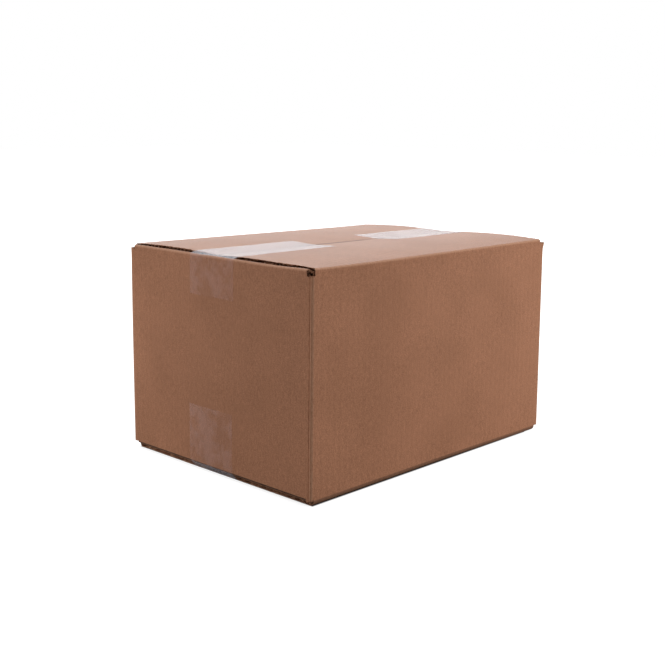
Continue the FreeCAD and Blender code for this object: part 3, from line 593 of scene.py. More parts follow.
@dataclass
class Carton:
    """The folded and glued sheet of board: walls, eight flaps and glue tab.

    Its own numbers, millimetres and shares, say how this box's board has given and
    how its cut edges are torn.
    """

    sizes: BoardSizes = BoardSizes()
    bow: float = 0.5
    end_waves: float = 70.0
    long_waves: float = 90.0
    lean: float = 1.9
    lean_share: Pair = (0.6, 0.8)
    tuck: float = 0.9
    sink: float = 3.1
    sink_from: Pair = (-130.0, -75.0)
    sink_reach: Pair = (245.0, 175.0)
    corner_lift: float = 0.9
    lift_reach: float = 24.0
    roll: float = 0.12
    roll_waves: float = 55.0
    dog_ear: float = 0.9
    plain_ear: float = 0.15
    tip_reach: float = 5.0
    tip_rise: float = 1.6
    tip_drop: float = 2.4
    tip_drop_long: float = 1.6
    far_tip_drop: float = 1.9
    ragged: float = 0.38
    # Share of the open flutes' painted shade kept on the bottom flaps' side edges.
    bottom_openness: float = 0.45

    def settle(self, points: Array) -> Array:
        """Move points as this box's board has given, each part by its own formula.

        Walls bow out by a paraboloid with slow waves on it. The top sinks towards the
        far rear corner by the product of two ramps. The rear near edge leans out
        towards its foot and the far front one leans in towards its head. The near outer
        flap climbs over the inner flap's lip, and flaps roll by slow waves.

        Args:
            points: Points in millimetres, x, y, z in the last axis.

        Returns:
            The moved points.
        """
        s = self.sizes
        x, y, z = np.moveaxis(points, -1, 0)
        height = part(z, s.slot_bottom, s.slot_top - s.slot_bottom)
        bow = self.bow * (1.0 - (2.0 * height - 1.0) ** 2)
        end_bow = bow * np.clip(1.0 - (y / s.half_width) ** 2, 0.0, 1.0) * (
            1.0 + 0.5 * wander(y, z, self.end_waves, 3))
        long_bow = bow * np.clip(1.0 - (x / s.half_length) ** 2, 0.0, 1.0) * (
            1.0 + 0.5 * wander(x, z, self.long_waves, 4))
        foot = self.lean * (1.0 - height) * ramp(x, 0.0, s.half_length)
        foot = foot * ramp(y, 0.0, -s.half_width)
        head = self.tuck * height ** 3 * ramp(x, 0.0, -s.half_length)
        head = head * ramp(y, 0.0, s.half_width)
        sunk = self.sink * height * part(x, self.sink_from[0], self.sink_reach[0]) * part(
            y, self.sink_from[1], self.sink_reach[1])
        climb = self.corner_lift * np.exp(-np.abs(x + s.outer_side) / self.lift_reach)
        climb = climb * ramp(z, s.slot_top, 3.0) * ramp(y, -60.0, -43.0)
        roll = self.roll * wander(x, y, self.roll_waves, 5) * ramp(z, s.top - 3.5, 2.0)
        roll = roll * ramp(np.abs(y), s.half_width - 3.0, -20.0)
        moved = points + self.corner_tips(x, y, z)
        moved[..., 0] += np.sign(x) * end_bow * ramp(np.abs(x), 90.0, 50.0)
        moved[..., 1] += np.sign(y) * long_bow * ramp(np.abs(y), 50.0, 50.0) - head
        moved[..., 0] += self.lean_share[0] * foot
        moved[..., 1] -= self.lean_share[1] * foot
        moved[..., 2] += climb + roll - sunk
        return moved

    def corner_tips(self, x: Array, y: Array, z: Array) -> Array:
        """How the wall's tips at the slots differ from the plain cut.

        Args:
            x: Places along the box.
            y: Places across it.
            z: Heights.

        Returns:
            Shifts of the points, x, y, z in the last axis.
        """
        s, reach = self.sizes, self.tip_reach
        joint = (x < 0.0) & (y < 0.0)
        slot_end = np.where(joint, s.joint_side, s.inner_side)
        past = ramp(np.abs(x), s.outer_side, 0.9) * ramp(np.abs(y), slot_end, 0.9)
        upper = past * ramp(z, s.slot_top - reach, reach) * (z < s.slot_top + 0.01)
        lower = past * ramp(z, s.slot_bottom + reach, -reach) * (z > s.slot_bottom - 0.01)
        corner = ramp(np.abs(x) + np.abs(y), s.outer_side + s.half_width, 6.0)
        splay = self.dog_ear * upper * corner * np.where(
            (x > 0.0) & (y < 0.0), 1.0, self.plain_ear)
        up = np.where(joint, 0.0, self.tip_rise) * upper
        by_long = self.tip_drop_long * ramp(np.abs(y), s.half_width - 3.2, 1.2)
        down = lower * np.where((x < 0.0) & (y > 0.0), self.far_tip_drop,
                                self.tip_drop + by_long)
        return np.stack((np.sign(x) * splay, np.sign(y) * splay, up - down), axis=-1)

    def stations(self, low: float, high: float) -> Array:
        """Places along a wall, closer together near both ends."""
        near_ends = np.array([0.0, 0.4, 1.0, 2.0, 3.5, 6.0])
        middle = np.linspace(low + 10.0, high - 10.0, 27)
        return np.concatenate((low + near_ends, middle, (high - near_ends)[::-1]))

    def flap_stations(self, panel: Panel) -> Array:
        """Places along a panel from one side edge of its flaps to the other."""
        s = self.sizes
        if panel.long:
            return self.stations(-s.outer_side, s.outer_side)
        low = -s.joint_side if panel is Panel.FRONT else -s.inner_side
        return self.stations(low, s.inner_side)

    def unrolled(self, panel: Panel, place: Array) -> Array:
        """Distance round the box from the joint to places along a panel.

        Each wall starts after the flats and the fold arcs of those before it.

        Args:
            panel: The wall.
            place: Places along it, in X or Y.

        Returns:
            The distances.
        """
        s = self.sizes
        long, wide = s.half_length - s.outside, s.half_width - s.outside
        arc = math.pi / 2.0 * s.outside
        first = wide + s.half_width - s.joint_setback
        return {
            Panel.FRONT: place + s.half_width - s.joint_setback,
            Panel.FAR: first + arc + long + place,
            Panel.REAR: first + 2.0 * (arc + long) + wide - place,
            Panel.NEAR: first + 3.0 * arc + 2.0 * (long + wide) + long - place,
        }[panel]

    def flap_section(self, panel: Panel, up: int) -> list[Array]:
        """Outer and inner face of a wall's edge, fold and flap, point for point.

        Args:
            panel: The wall.
            up: +1 for the top flap, -1 for the bottom one.

        Returns:
            Two arrays of (distance from the middle, height).
        """
        s = self.sizes
        tip = s.seam_gap / 2.0
        if panel.long:
            return self.crowned_section(tip) if up > 0 else self.level_section(
                s.half_width, tip, s.tape, (s.sag_outside, s.sag_inside))
        tip += s.half_length - s.half_width
        return self.lipped_section(tip) if up > 0 else self.level_section(
            s.half_length, tip, s.over_bottom, (s.outside, s.inside))

    def crowned_section(self, tip: float) -> list[Array]:
        """Both faces of a long panel's top edge; its flap follows the crown's arc.

        The fold's centre lies where the fold's arc meets the crown's on one tangent:
        the cosine of their turn is the run between the centres over the crown's radius
        less the fold's.

        Args:
            tip: Distance of the flap's tip from the middle.

        Returns:
            Two arrays of (distance from the middle, height).
        """
        s = self.sizes
        wall = s.half_width
        middle, centre_up = s.crown_centre
        faces = []
        for depth, fold in ((0.0, s.outside), (s.board, s.inside)):
            radius = s.crown_radius - depth
            arm = wall - depth - fold - middle
            turn = math.acos(arm / (radius - fold))
            up = centre_up + arm * math.tan(turn)
            start, end = math.degrees(turn), math.degrees(math.acos((tip - middle) / radius))
            faces.append(np.vstack((
                run((wall - depth, s.slot_top), (wall - depth, up), 6),
                bend((wall - depth - fold, up), fold, 0, start, 9)[:-1],
                bend((middle, centre_up), radius, start, end, 130))))
        return faces

    def level_section(self, wall: float, tip: float, level: float,
                      folds: Pair) -> list[Array]:
        """Both faces of a bottom edge: leg, fold and level flap.

        Args:
            wall: Outside of the wall from the middle.
            tip: Distance of the flap's tip from the middle.
            level: Height of the flap's outer face.
            folds: Outside and inside radius of the fold.

        Returns:
            Two arrays of (distance from the middle, height).
        """
        s = self.sizes
        faces = []
        for depth, fold in zip((0.0, s.board), folds):
            face, flap = wall - depth, level + depth
            faces.append(np.vstack((
                run((face, s.slot_bottom), (face, flap + fold), 6),
                bend((face - fold, flap + fold), fold, 0, -90, 13)[:-1],
                run((face - fold, flap), (tip, flap), 36), [(tip, flap)])))
        return faces

    def lipped_section(self, tip: float) -> list[Array]:
        """Both faces of an end panel's top edge, with its lip and dipping flap.

        The outer face runs over the lip, down its common tangent with the foot's arc
        and on level. The tangent's slope is the angle of the line between the arcs'
        centres less the angle whose cosine is both radii over that line.

        Args:
            tip: Distance of the flap's tip from the middle.

        Returns:
            Two arrays of (distance from the middle, height).
        """
        s = self.sizes
        wall = s.half_length
        crest_up = s.crest - s.outside
        foot = (wall - s.slot_setback, s.under_top + s.lip_foot)
        width = s.slot_setback - s.outside
        climb = foot[1] - crest_up
        slope = math.atan2(climb, -width) - math.acos(
            (s.outside + s.lip_foot) / math.hypot(width, climb))
        turn = math.degrees(slope)
        lip = bend((wall - s.outside, crest_up), s.outside, 0, turn, 10)
        dip = bend(foot, s.lip_foot, 180 + turn, 270, 6)
        outer = np.vstack((
            run((wall, s.slot_top), (wall, crest_up), 6), lip[:-1],
            run(tuple(lip[-1]), tuple(dip[0]), 4), dip[:-1],
            run(tuple(dip[-1]), (tip, s.under_top), 60), [(tip, s.under_top)]))
        face, back = wall - s.board, s.under_top - s.board
        inset = face - s.inside
        inner = np.vstack((
            run((face, s.slot_top), (face, back - s.inside), 6),
            bend((inset, back - s.inside), s.inside, 0, 90, 19)[:-1],
            run((inset, back), (tip, back), 60), [(tip, back)]))
        return [outer, inner]

    def add_flap(self, skin: Skin, panel: Panel, up: int) -> None:
        """Sweep a flap's section along its wall and close its cut edges.

        Both faces are the section carried along the stations. The side edges, cut in
        line with the flutes, sink between the two liners by a depth that wanders; the
        tip edge shows the waves of the flutes.

        Args:
            skin: Where the grids go.
            panel: The wall.
            up: +1 for top, -1 for bottom.
        """
        s, side = self.sizes, panel.side
        outer, inner = self.flap_section(panel, up)
        places = self.flap_stations(panel)
        travel = travelled(outer)
        along = (s.slot_top + travel if up > 0 else s.slot_bottom - travel)[:, None]
        fold_top = (s.top if panel.long else s.crest) - s.outside
        # Rubbed wear and a painted highlight along the fold's crest.
        wear = np.exp(-((travel - fold_top + s.slot_top - 1.5) / 0.9) ** 2)[:, None]
        flip = side * up < 0 if panel.long else side * up > 0
        edges = np.zeros((2, len(outer), 2))
        for face, line in enumerate((outer, inner)):
            for end in range(2):
                seed = 20 + 4 * list(Panel).index(panel) + 2 * face + end + 50 * (up > 0)
                rough = wander(travel, 0.0, 5.0, seed) + 0.6 * wander(travel, 9.0, 1.6, seed)
                edges[face, :, end] = self.ragged * rough * ramp(travel, 0.0, 3.0)
            grown = np.repeat(places[None, :], len(line), axis=0)
            grown[:, [0, -1]] += edges[face]
            # Outer faces get painted shade in the seam on top and under the bend below.
            skin.grid(self.standing(panel, line, grown), flip != bool(face),
                      across=self.unrolled(panel, grown), along=along,
                      wear=0.7 * wear if up > 0 else 0.0,
                      soil=0.0 if face else self.soil(panel, up, line))
        for end, outward in ((0, -1), (-1, 1)):
            self.side_edge(skin, panel, up, (outer, inner), places[end] + edges[:, :, end],
                           outward, flip)
        # Close the tip edge, which shows the flutes with their openings painted dark as shade.
        steps = shares(5)
        grown = np.repeat(places[None, :], len(steps), axis=0)
        grown[np.ix_([0, -1], [0, -1])] += edges[:, -1]
        skin.grid(self.standing(panel, mix(outer[-1], inner[-1], steps), grown), flip,
                  cut=1.0, through=steps, across=self.unrolled(panel, grown),
                  along=along[-1, 0] + steps * s.board)

    def soil(self, panel: Panel, up: int, line: Array) -> Array:
        """Painted shade on a flap's section: in the seam on top, low on the bend below.

        Args:
            panel: The wall.
            up: +1 for the top flap, -1 for the bottom one.
            line: Points of the section, distance and height.

        Returns:
            The painted shade of each point, in a column.
        """
        s = self.sizes
        if up > 0:
            return 0.9 * np.exp(-((line[:, 0] - line[-1, 0]) / 1.2) ** 2)[:, None]
        wall = s.half_width if panel.long else s.half_length
        rise, most = (4.6, 0.55) if panel.long else (s.over_bottom + 1.9, 0.95)
        low = ramp(line[:, 1], rise, -0.5) * ramp(line[:, 0], wall - 6.0, 2.0)
        return (most * low)[:, None]

    def side_edge(self, skin: Skin, panel: Panel, up: int,
                  faces: tuple[Array, Array], ends: Array, outward: int,
                  flip: bool) -> None:
        """Close a flap's side edge, hollow between its liners.

        The edge is a grid from the outer face to the inner one. Its depth is that of
        the open flute times a smooth step off both liners, less the wandering stubs
        of crushed medium. Where it is open it is also painted dark as shade, less on
        the bottom flaps.

        Args:
            skin: Where the grid goes.
            panel: The wall.
            up: +1 for top, -1 for bottom.
            faces: The section's outer and inner face.
            ends: Where each face's edge lies along the wall.
            outward: Which way the edge looks, along the wall.
            flip: Whether the outer face's grid is turned over.
        """
        s = self.sizes
        outer, inner = faces
        skin_share = s.liner / s.board
        half = np.concatenate((np.array([0.0, 0.5, 1.0, 1.3]) * skin_share, [0.24, 0.36]))
        through = np.concatenate((half, [0.5], 1.0 - half[::-1]))
        deep = np.abs(through - 0.5)
        travel = travelled(outer)
        inside = ramp(deep, 0.5 - skin_share, -0.35 * skin_share)
        seed = 80 + 3 * list(Panel).index(panel) + up + outward
        stubs = np.clip(1.3 * wander(travel[:, None], through * 3.0, 2.4, seed)
                        + 1.8 * deep - 0.3, 0.0, 1.0)
        depth = 0.8 * s.hollow * inside * (1.0 - stubs) * ramp(travel, 0.0, 1.5)[:, None]
        grown = mix(ends[0][:, None], ends[1][:, None], through) - outward * depth
        line = mix(outer[:, None, :], inner[:, None, :], through[:, None])
        # Painted shade in the open flute, weaker on the bottom flaps.
        opened = 0.5 if up > 0 else 0.5 * self.bottom_openness
        skin.grid(self.standing(panel, line, grown), flip != (outward > 0),
                  cut=opened * inside * (1.0 - stubs) ** 0.6, through=through,
                  wear=0.1 + 0.5 * stubs, across=self.unrolled(panel, grown),
                  along=up * travel[:, None] + through * s.board)

    def standing(self, panel: Panel, line: Array, places: Array) -> Array:
        """Set a section up along a wall: its distance goes across, places go along.

        Args:
            panel: The wall.
            line: Points of the section, or a grid of them.
            places: Places along the wall for the whole grid.

        Returns:
            The grid in the box's frame, settled.
        """
        away, height = (np.broadcast_to(line[..., k] if line.ndim == 3
                                        else line[:, k][:, None], places.shape)
                        for k in (0, 1))
        out = away * panel.side
        x, y = (places, out) if panel.long else (out, places)
        return self.settle(np.stack((x, y, height), axis=-1))

    def wall_path(self, inner: bool) -> tuple[Array, list[slice]]:
        """The walls' outer or inner face seen from above, from the joint round to the tab.

        Straight walls and corner arcs in turn, with the same number of points on both
        faces.

        Args:
            inner: The inner face instead of the outer one.

        Returns:
            The points, and the stretches at the slots, joint first and tab last.
        """
        s = self.sizes
        inset, radius = (s.board, s.inside) if inner else (0.0, s.outside)
        long, wide = s.half_length - inset, s.half_width - inset
        tab_x = s.half_length - s.board - inset
        tab_tip = (-tab_x, s.glue_tab - s.half_width)
        walls = []
        for panel, backward in zip(Panel, (1, 1, -1, -1)):
            places = self.flap_stations(panel)[::backward]
            out = np.full(len(places), panel.side * (wide if panel.long else long))
            walls.append(np.column_stack((places, out) if panel.long else (out, places)))
        blocks = [run((-long, s.joint_setback - s.half_width), walls[0][0], 5)]
        turns = ((-long + radius, wide - radius, 180), (long - radius, wide - radius, 90),
                 (long - radius, radius - wide, 0), (radius - tab_x, radius - wide, 270))
        for wall, after, (x, y, start) in zip(walls, walls[1:] + [None], turns):
            arc = bend((x, y), radius, start, start - 90, 9)
            before = run(wall[-1], arc[0], 3 if after is None else 5)[1:]
            leave = (np.vstack((run(arc[-1], tab_tip, 8)[1:], [tab_tip])) if after is None
                     else run(arc[-1], after[0], 5)[1:])
            blocks += [wall, np.vstack((before, arc, leave))]
        ends = np.cumsum([len(block) for block in blocks])
        slots = [slice(max(end - len(block) - 1, 0), end + 1)
                 for block, end in zip(blocks, ends)]
        return np.vstack(blocks), slots[::2]

    def add_walls(self, skin: Skin) -> None:
        """Raise both faces of the walls, and close the slots, the joint and the tab.

        A face is its path carried up from slot roof to slot floor. Past its fold the
        glue tab loses height towards its tip.

        Args:
            skin: Where the grids go.
        """
        s = self.sizes
        rims = np.array([1.0, 2.2])
        levels = np.sort(np.concatenate((np.linspace(s.slot_bottom, s.slot_top, 41),
                                         s.slot_bottom + rims, s.slot_top - rims)))
        middle = (s.slot_top + s.slot_bottom) / 2.0
        past_tab_fold = 12
        walls = []
        for inner in (False, True):
            path, slots = self.wall_path(inner)
            travel = travelled(path)
            root = travel[slots[-1].start + past_tab_fold]
            share = part(travel, root, travel[-1] - root)
            squeeze = 1.0 - share * s.tab_taper / (s.slot_top - middle)
            height = middle + (levels[:, None] - middle) * squeeze
            flat = np.broadcast_to(path, (len(levels), *path.shape))
            walls.append(self.settle(np.concatenate((flat, height[..., None]), axis=-1)))
            if not inner:
                outer_travel = travel
            skin.grid(walls[-1], inner, across=outer_travel, along=height,
                      wear=self.corner_wear(path))
        through = shares(7)
        for row, flip in ((-1, False), (0, True)):
            for stretch in slots:
                # Slot floors show the flutes, their openings painted dark as shade.
                floor = mix(walls[0][row, stretch], walls[1][row, stretch], through[..., None])
                skin.grid(floor, flip, cut=1.0, through=through,
                          across=outer_travel[stretch], along=through * s.board)
        self.joint_edge(skin, walls, levels, 0, 0.5)
        self.joint_edge(skin, walls, levels, -1, 0.0)

    def joint_edge(self, skin: Skin, walls: list[Array], levels: Array,
                   column: int, depth: float) -> None:
        """Close the walls' upright cut edge at the glued joint, or the tab's tip.

        Args:
            skin: Where the grid goes.
            walls: The walls' outer and inner face.
            levels: Heights of their rows.
            column: Which of their columns is the edge.
            depth: How deep its hollow is pinched in.
        """
        across = np.linspace(0.0, 1.0, 9)
        edge = mix(walls[0][:, column, None], walls[1][:, column, None], across[:, None])
        pinch = depth * ramp(np.abs(across - 0.3), 0.25, -0.1)
        edge[..., 1] += pinch * (0.6 + 0.4 * wander(levels[:, None], across * 3.0, 4.0, 61))
        # At the joint the edge's near part is painted dark as shade in the crevice, and its far
        # part lighter as a painted highlight on the fold.
        skin.grid(edge, column == 0, cut=0.16 if depth else 0.0, through=across * 1.8,
                  wear=0.35 * ramp(across, 0.45, 0.25), across=across * self.sizes.board,
                  along=levels[:, None])

    def corner_wear(self, path: Array) -> Array:
        """Wear and painted highlight: most at the upright folds, less by the glued joint."""
        s = self.sizes
        x, y = np.abs(path[:, 0]), np.abs(path[:, 1])
        rubbed_and_highlit = np.exp(-((s.half_length - x + s.half_width - y - 1.1) / 1.3) ** 2)
        # Painted highlight on the fold beside the glued joint.
        joint_highlight = 0.6 * np.exp(-(x - s.half_length + 3.4) ** 2) * (y > s.joint_side)
        return np.where((path < 0.0).all(axis=1), joint_highlight, 0.55 * rubbed_and_highlit)

    def build(self, material: bpy.types.Material) -> bpy.types.Object:
        """Make the dressed board and let it stand for the CAD node.

        Args:
            material: The paper.

        Returns:
            The piece.
        """
        skin = Skin()
        self.add_walls(skin)
        for panel in Panel:
            for up in (1, -1):
                self.add_flap(skin, panel, up)
        piece = skin.piece("carton_board", material)
        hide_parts("carton")
        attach(piece, "root")
        return piece


# The tape


@dataclass
class Strip:
    """A strip of clear tape: a path along the box, laid down column by column.

    The film stands off the board by slow waves and ends in the teeth of the cutter.
    It faces up on top of the box (1) or down under it (-1).
    """

    carton: Carton
    name: str
    near: float
    far: float
    tooth: float = 0.55
    tooth_pitch: float = 2.5
    lift: float = 0.06
    bubbles: float = 0.012
    bubble_waves: float = 14.0
    facing: int = 1

    def columns(self) -> Array:
        """Places across the strip, two for each tooth."""
        count = int(round((self.near + self.far) / self.tooth_pitch)) * 2
        return np.linspace(-self.near, self.far, count + 1)

    def teeth(self, across: Array) -> Array:
        """How far each column of the cut end reaches out."""
        return self.tooth * (np.arange(len(across)) % 2 - 0.5)

    def lay(self, rows: Array) -> Array:
        """Turn the sheet's grid into a thin closed strip on the settled board.

        Normals are the cross product of the grid's steps along and across. Each face
        is the settled grid plus a lift along them; the lift has slow waves.

        Args:
            rows: Grid of points, along by across.

        Returns:
            Both faces, below and above, in one array.
        """
        flat = self.carton.settle(rows)
        normal = np.cross(np.gradient(flat, axis=1), np.gradient(flat, axis=0))
        normal /= np.linalg.norm(normal, axis=-1, keepdims=True)
        if normal[..., 2].sum() * self.facing < 0.0:
            normal = -normal
        waves = self.bubbles * (1.0 + wander(flat[..., 0] + flat[..., 2], flat[..., 1],
                                             self.bubble_waves, len(self.name)))
        low = flat + normal * (self.lift + waves)[..., None]
        return np.stack((low, low + normal * self.carton.sizes.tape))

    def build(self, material: bpy.types.Material) -> bpy.types.Object:
        """Make the strip and let it stand for its CAD node.

        Args:
            material: The film.

        Returns:
            The piece.
        """
        low, high = self.lay(self.rows())
        marks = {"across": self.columns(), "along": travelled(low[:, 0])[:, None]}
        skin = Skin()
        along, across = high[1, 0] - high[0, 0], high[0, 1] - high[0, 0]
        outwards = np.cross(along, across)[2] * self.facing > 0.0
        skin.grid(high, not outwards, **marks)
        skin.grid(low, outwards, **marks)
        for edge, flip in ((np.s_[0], True), (np.s_[-1], False), (np.s_[:, 0], False),
                           (np.s_[:, -1], True)):
            skin.grid(np.stack((low[edge], high[edge])), flip != outwards)
        piece = skin.piece(self.name + "_film", material, 60.0)
        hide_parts(self.name)
        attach(piece, "root")
        return piece

    def sheet(self, x: Array, z: Array) -> Array:
        """A grid of points from its x and z; y is where the columns are."""
        return np.stack((x, np.broadcast_to(self.columns(), x.shape), z), axis=-1)

    def rows(self) -> Array:
        """The sheet's grid of points, along by across."""
        raise NotImplementedError


@dataclass
class TopStrip(Strip):
    """Tape over the top seam at one end, over the flap's edge and down the end panel."""

    end: int = -1
    run_on_top: float = 103.5
    drop: float = 31.0

    def rows(self) -> Array:
        """Follow the crowned flaps, bridge to the lip on its tangent, wrap and hang.

        For a column the bridge starts at the flap's edge, at the crown's level there;
        its lean is the angle of the line to the lip's centre plus the angle whose
        cosine is the radius over that line. Over the seam the film dips a little.

        Returns:
            The grid.
        """
        s = self.carton.sizes
        across = self.columns()
        dip, dip_width, seam_side = 0.10, 3.0, np.array([1.6])
        level = s.crown_level(across) - dip * np.exp(-(across / dip_width) ** 2)
        level = np.maximum(level, s.crown_level(seam_side)[0])
        edge = s.outer_side
        centre_x, centre_z = s.half_length - s.outside, s.crest - s.outside
        slant = np.hypot(edge - centre_x, level - centre_z)
        lean = np.arctan2(level - centre_z, edge - centre_x) - np.arccos(s.outside / slant)
        inner_end = edge - self.run_on_top + self.teeth(across)
        foot = s.crest - self.drop + self.teeth(across)
        on_top, bridge, hang = shares(46), shares(5)[1:-1], shares(18)[1:]
        turn = mix(lean, 0.0, shares(9))
        x = np.vstack((mix(inner_end, edge, on_top),
                       mix(edge, centre_x + s.outside * np.cos(lean), bridge),
                       centre_x + s.outside * np.cos(turn),
                       mix(s.half_length, s.half_length, hang + 0.0 * across)))
        z = np.vstack((mix(level, level, on_top),
                       mix(level, centre_z + s.outside * np.sin(lean), bridge),
                       centre_z + s.outside * np.sin(turn), mix(centre_z, foot, hang)))
        return self.sheet(x * self.end, z)


@dataclass
class BottomStrip(Strip):
    """Tape along the whole bottom seam and up both end panels."""

    facing: int = -1
    rise: float = 48.0

    def rows(self) -> Array:
        """Climb down one end panel, pass under the box and climb up the other.

        The film leaves the fold's arc on the tangent that meets the side edge of the
        outer flap; the other half is the mirror image.

        Returns:
            The grid.
        """
        s = self.carton.sizes
        across = self.columns()
        even = np.ones_like(across)
        edge = s.outer_side
        centre_x, centre_z = s.half_length - s.outside, s.over_bottom + s.outside
        away, drop = edge - centre_x, s.tape - centre_z
        lean = math.atan2(drop, away) + math.acos(s.outside / math.hypot(away, drop))
        climb = s.over_bottom + self.rise + self.teeth(across)
        hang, foot, under = shares(24)[:-1], shares(5)[1:], shares(60)[1:-1] * even
        turn = lean * shares(9) * even
        wrap_x, wrap_z = centre_x + s.outside * np.cos(turn), centre_z + s.outside * np.sin(turn)
        half_x = np.vstack((s.half_length * even * np.ones_like(hang), wrap_x,
                            mix(wrap_x[-1], edge, foot)))
        half_z = np.vstack((mix(climb, centre_z, hang), wrap_z, mix(wrap_z[-1], s.tape, foot)))
        x = np.vstack((-half_x, mix(-edge, edge, under), half_x[::-1]))
        z = np.vstack((half_z, np.full_like(under, s.tape), half_z[::-1]))
        return self.sheet(x, z)

    def lay(self, rows: Array) -> Array:
        """Both faces of the strip, the outer one never below the floor."""
        faces = super().lay(rows)
        faces[..., 2] = np.maximum(faces[..., 2], 0.0)
        under = (np.abs(rows[..., 0]) <= self.carton.sizes.outer_side) & (rows[..., 2] < 1.0)
        faces[0, ..., 2] = np.where(under, self.carton.sizes.tape, faces[0, ..., 2])
        faces[1, ..., 2] = np.where(under, 0.0, faces[1, ..., 2])
        return faces


# The studio


@dataclass(frozen=True)
class Lamp:
    """A square soft lamp: place and side in metres, power in watts."""

    name: str
    place: Place
    power: float
    side: float
    glossy: bool = True

    def hang(self, target: Vector) -> None:
        """Hang the lamp and point it at a target.

        Args:
            target: Where its middle ray goes.
        """
        light = bpy.data.lights.new(self.name, "AREA")
        light.energy, light.size = self.power, self.side
        holder = bpy.data.objects.new(self.name, light)
        holder.location = self.place
        holder.visible_glossy = self.glossy
        ahead = target - Vector(self.place)
        holder.rotation_euler = ahead.to_track_quat("-Z", "Y").to_euler()
        bpy.context.scene.collection.objects.link(holder)


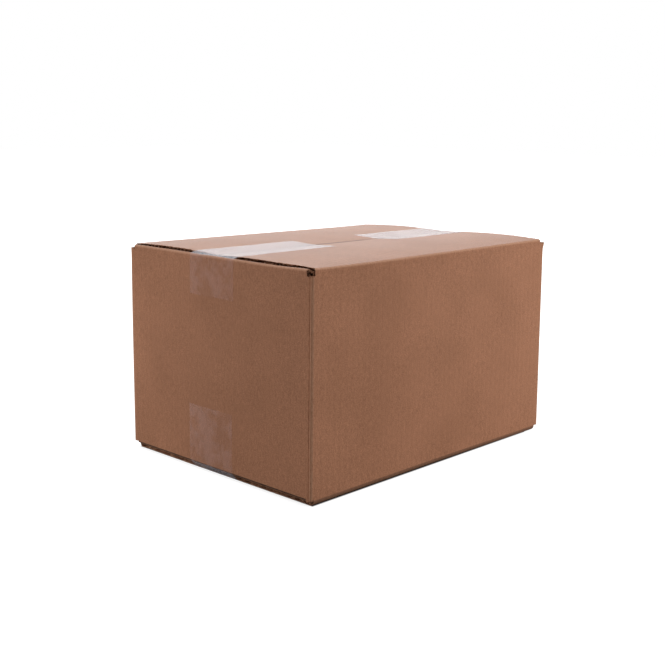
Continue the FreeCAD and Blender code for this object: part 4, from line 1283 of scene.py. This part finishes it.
@dataclass(frozen=True)
class Studio:
    """White floor and surroundings, and the soft lamps over them."""

    floor_size: float = 12.0
    floor_tone: Colour = (0.45, 0.45, 0.45, 1.0)
    # Painted contact shadow, tinted brown as by light bounced off the box.
    painted_contact_shadow: Colour = (0.075, 0.052, 0.043, 1.0)
    floor_bounce: Colour = (0.21, 0.21, 0.21, 1.0)
    floor_glow: float = 0.8
    full_glow: Pair = (0.35, 1.2)
    room_light: float = 0.75
    aim: Place = (0.0, 0.0, 0.09)
    lamps: tuple[Lamp, ...] = (
        Lamp("overhead_softbox", (0.2, 0.35, 1.5), 6.0, 1.4),
        Lamp("left_softbox", (-0.37, 0.38, 0.10), 0.72, 0.18, glossy=False),
        Lamp("right_softbox", (0.75, -0.55, 0.2), 5.6, 0.4, glossy=False),
        Lamp("back_softbox", (1.15, 1.15, 0.55), 9.2, 1.2))

    def build(self) -> None:
        """Make the floor, the white surroundings and the lamps."""
        self.floor()
        self.surroundings()
        for lamp in self.lamps:
            lamp.hang(Vector(self.aim))

    def floor(self) -> None:
        """Lay a large square floor."""
        half = self.floor_size / 2
        mesh = bpy.data.meshes.new("floor")
        mesh.from_pydata([(-half, -half, 0), (half, -half, 0), (half, half, 0),
                          (-half, half, 0)], [], [(0, 1, 2, 3)])
        mesh.materials.append(self.floor_finish())
        floor = bpy.data.objects.new("floor", mesh)
        bpy.context.scene.collection.objects.link(floor)

    def floor_finish(self) -> bpy.types.Material:
        """White glow for the camera; by the box, no glow and a painted contact shadow."""
        recipe = Recipe(bpy.data.materials.new("white_floor"))
        seen = recipe.add("LightPath").outputs["Is Camera Ray"]
        place = recipe.add("TexCoord").outputs["Object"]
        clear = self.out_of_painted_shadow(recipe, place)
        # Painted contact shadow near the box, plain floor tone beyond.
        shade = recipe.tint(clear, self.painted_contact_shadow, self.floor_tone)
        matt = recipe.add("BsdfDiffuse", recipe.tint(seen, self.floor_bounce, shade))
        away = recipe.add("VectorMath", place, operation="LENGTH").outputs["Value"]
        far = recipe.spread(away, *self.full_glow, self.floor_glow, 1.0)
        power = recipe.math("MULTIPLY", seen, recipe.math("MULTIPLY", clear, far))
        glow = recipe.add("Emission", WHITE, power)
        return recipe.show(recipe.add("AddShader", matt.outputs[0], glow.outputs[0]).outputs[0])

    def out_of_painted_shadow(self, recipe: Recipe, place: Socket) -> Socket:
        """How far the floor is out of the contact shadow painted round the box.

        The larger of two distances past a rectangle a little inside the footprint, each
        over the shadow's width on that side.

        Args:
            recipe: The node tree.
            place: Coordinates on the floor.

        Returns:
            0 at the box, 1 outside the shadow.
        """
        split = recipe.add("SeparateXYZ", place).outputs
        middle, half, wide = (-0.0048, 0.0), (0.1325, 0.099), (0.003, 0.0035)
        past = []
        for axis in range(2):
            off = recipe.math("SUBTRACT", recipe.apart(split[axis], middle[axis]), half[axis])
            past.append(recipe.math("DIVIDE", off, wide[axis]))
        return recipe.spread(recipe.math("MAXIMUM", *past), 0.6, 1.1)

    def surroundings(self) -> None:
        """A white world: full white where it is seen, softer where it only lights."""
        recipe = Recipe(bpy.data.worlds.new("white_room"))
        seen = recipe.add("LightPath").outputs["Is Camera Ray"]
        level = recipe.spread(seen, 0.0, 1.0, self.room_light, 1.0)
        sky = recipe.add("Background", WHITE, level).outputs[0]
        bpy.context.scene.world = recipe.show(sky, "OutputWorld")


@dataclass(frozen=True)
class PhotoCamera:
    """The photo's camera, from a fit to the box's edges: metres, degrees and pixels."""

    place: Place = (-0.6761, -0.6279, 0.2796)
    yaw: float = 43.45
    pitch: float = 11.41
    roll: float = 0.67
    focal_pixels: float = 1099.7
    frame_pixels: float = 665.0
    sensor: float = 36.0
    clip: Pair = (0.05, 50.0)

    def build(self) -> None:
        """Aim along yaw and pitch, turn by roll, and make it the scene's camera."""
        yaw, pitch, roll = (math.radians(a) for a in (self.yaw, self.pitch, self.roll))
        ahead = Vector((math.cos(pitch) * math.cos(yaw), math.cos(pitch) * math.sin(yaw),
                        -math.sin(pitch)))
        level = Vector((math.sin(yaw), -math.cos(yaw), 0.0))
        above = level.cross(ahead)
        right = level * math.cos(roll) + above * math.sin(roll)
        up = above * math.cos(roll) - level * math.sin(roll)
        data = bpy.data.cameras.new("photo_camera")
        data.sensor_width = self.sensor
        data.lens = self.focal_pixels / self.frame_pixels * self.sensor
        data.clip_start, data.clip_end = self.clip
        camera = bpy.data.objects.new("photo_camera", data)
        turn = Matrix((right, up, -ahead)).transposed().to_4x4()
        camera.matrix_world = Matrix.Translation(self.place) @ turn
        bpy.context.scene.collection.objects.link(camera)
        bpy.context.scene.camera = camera


def main() -> None:
    """Build the studio, the camera and the dressed box."""
    logging.basicConfig(level=logging.INFO, format="%(message)s")
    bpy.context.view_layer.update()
    view = bpy.context.scene.view_settings
    view.view_transform = "Standard"
    Studio().build()
    PhotoCamera().build()
    kraft, film = KraftPaper().make(), ClearTape().make()
    carton = Carton()
    carton.build(kraft)
    TopStrip(carton, "tape_top_front", 23.5, 26.5).build(film)
    TopStrip(carton, "tape_top_rear", 23.5, 26.5, end=1, run_on_top=99.5).build(film)
    BottomStrip(carton, "tape_bottom", 21.0, 29.0).build(film)


if __name__ == "__main__":
    main()
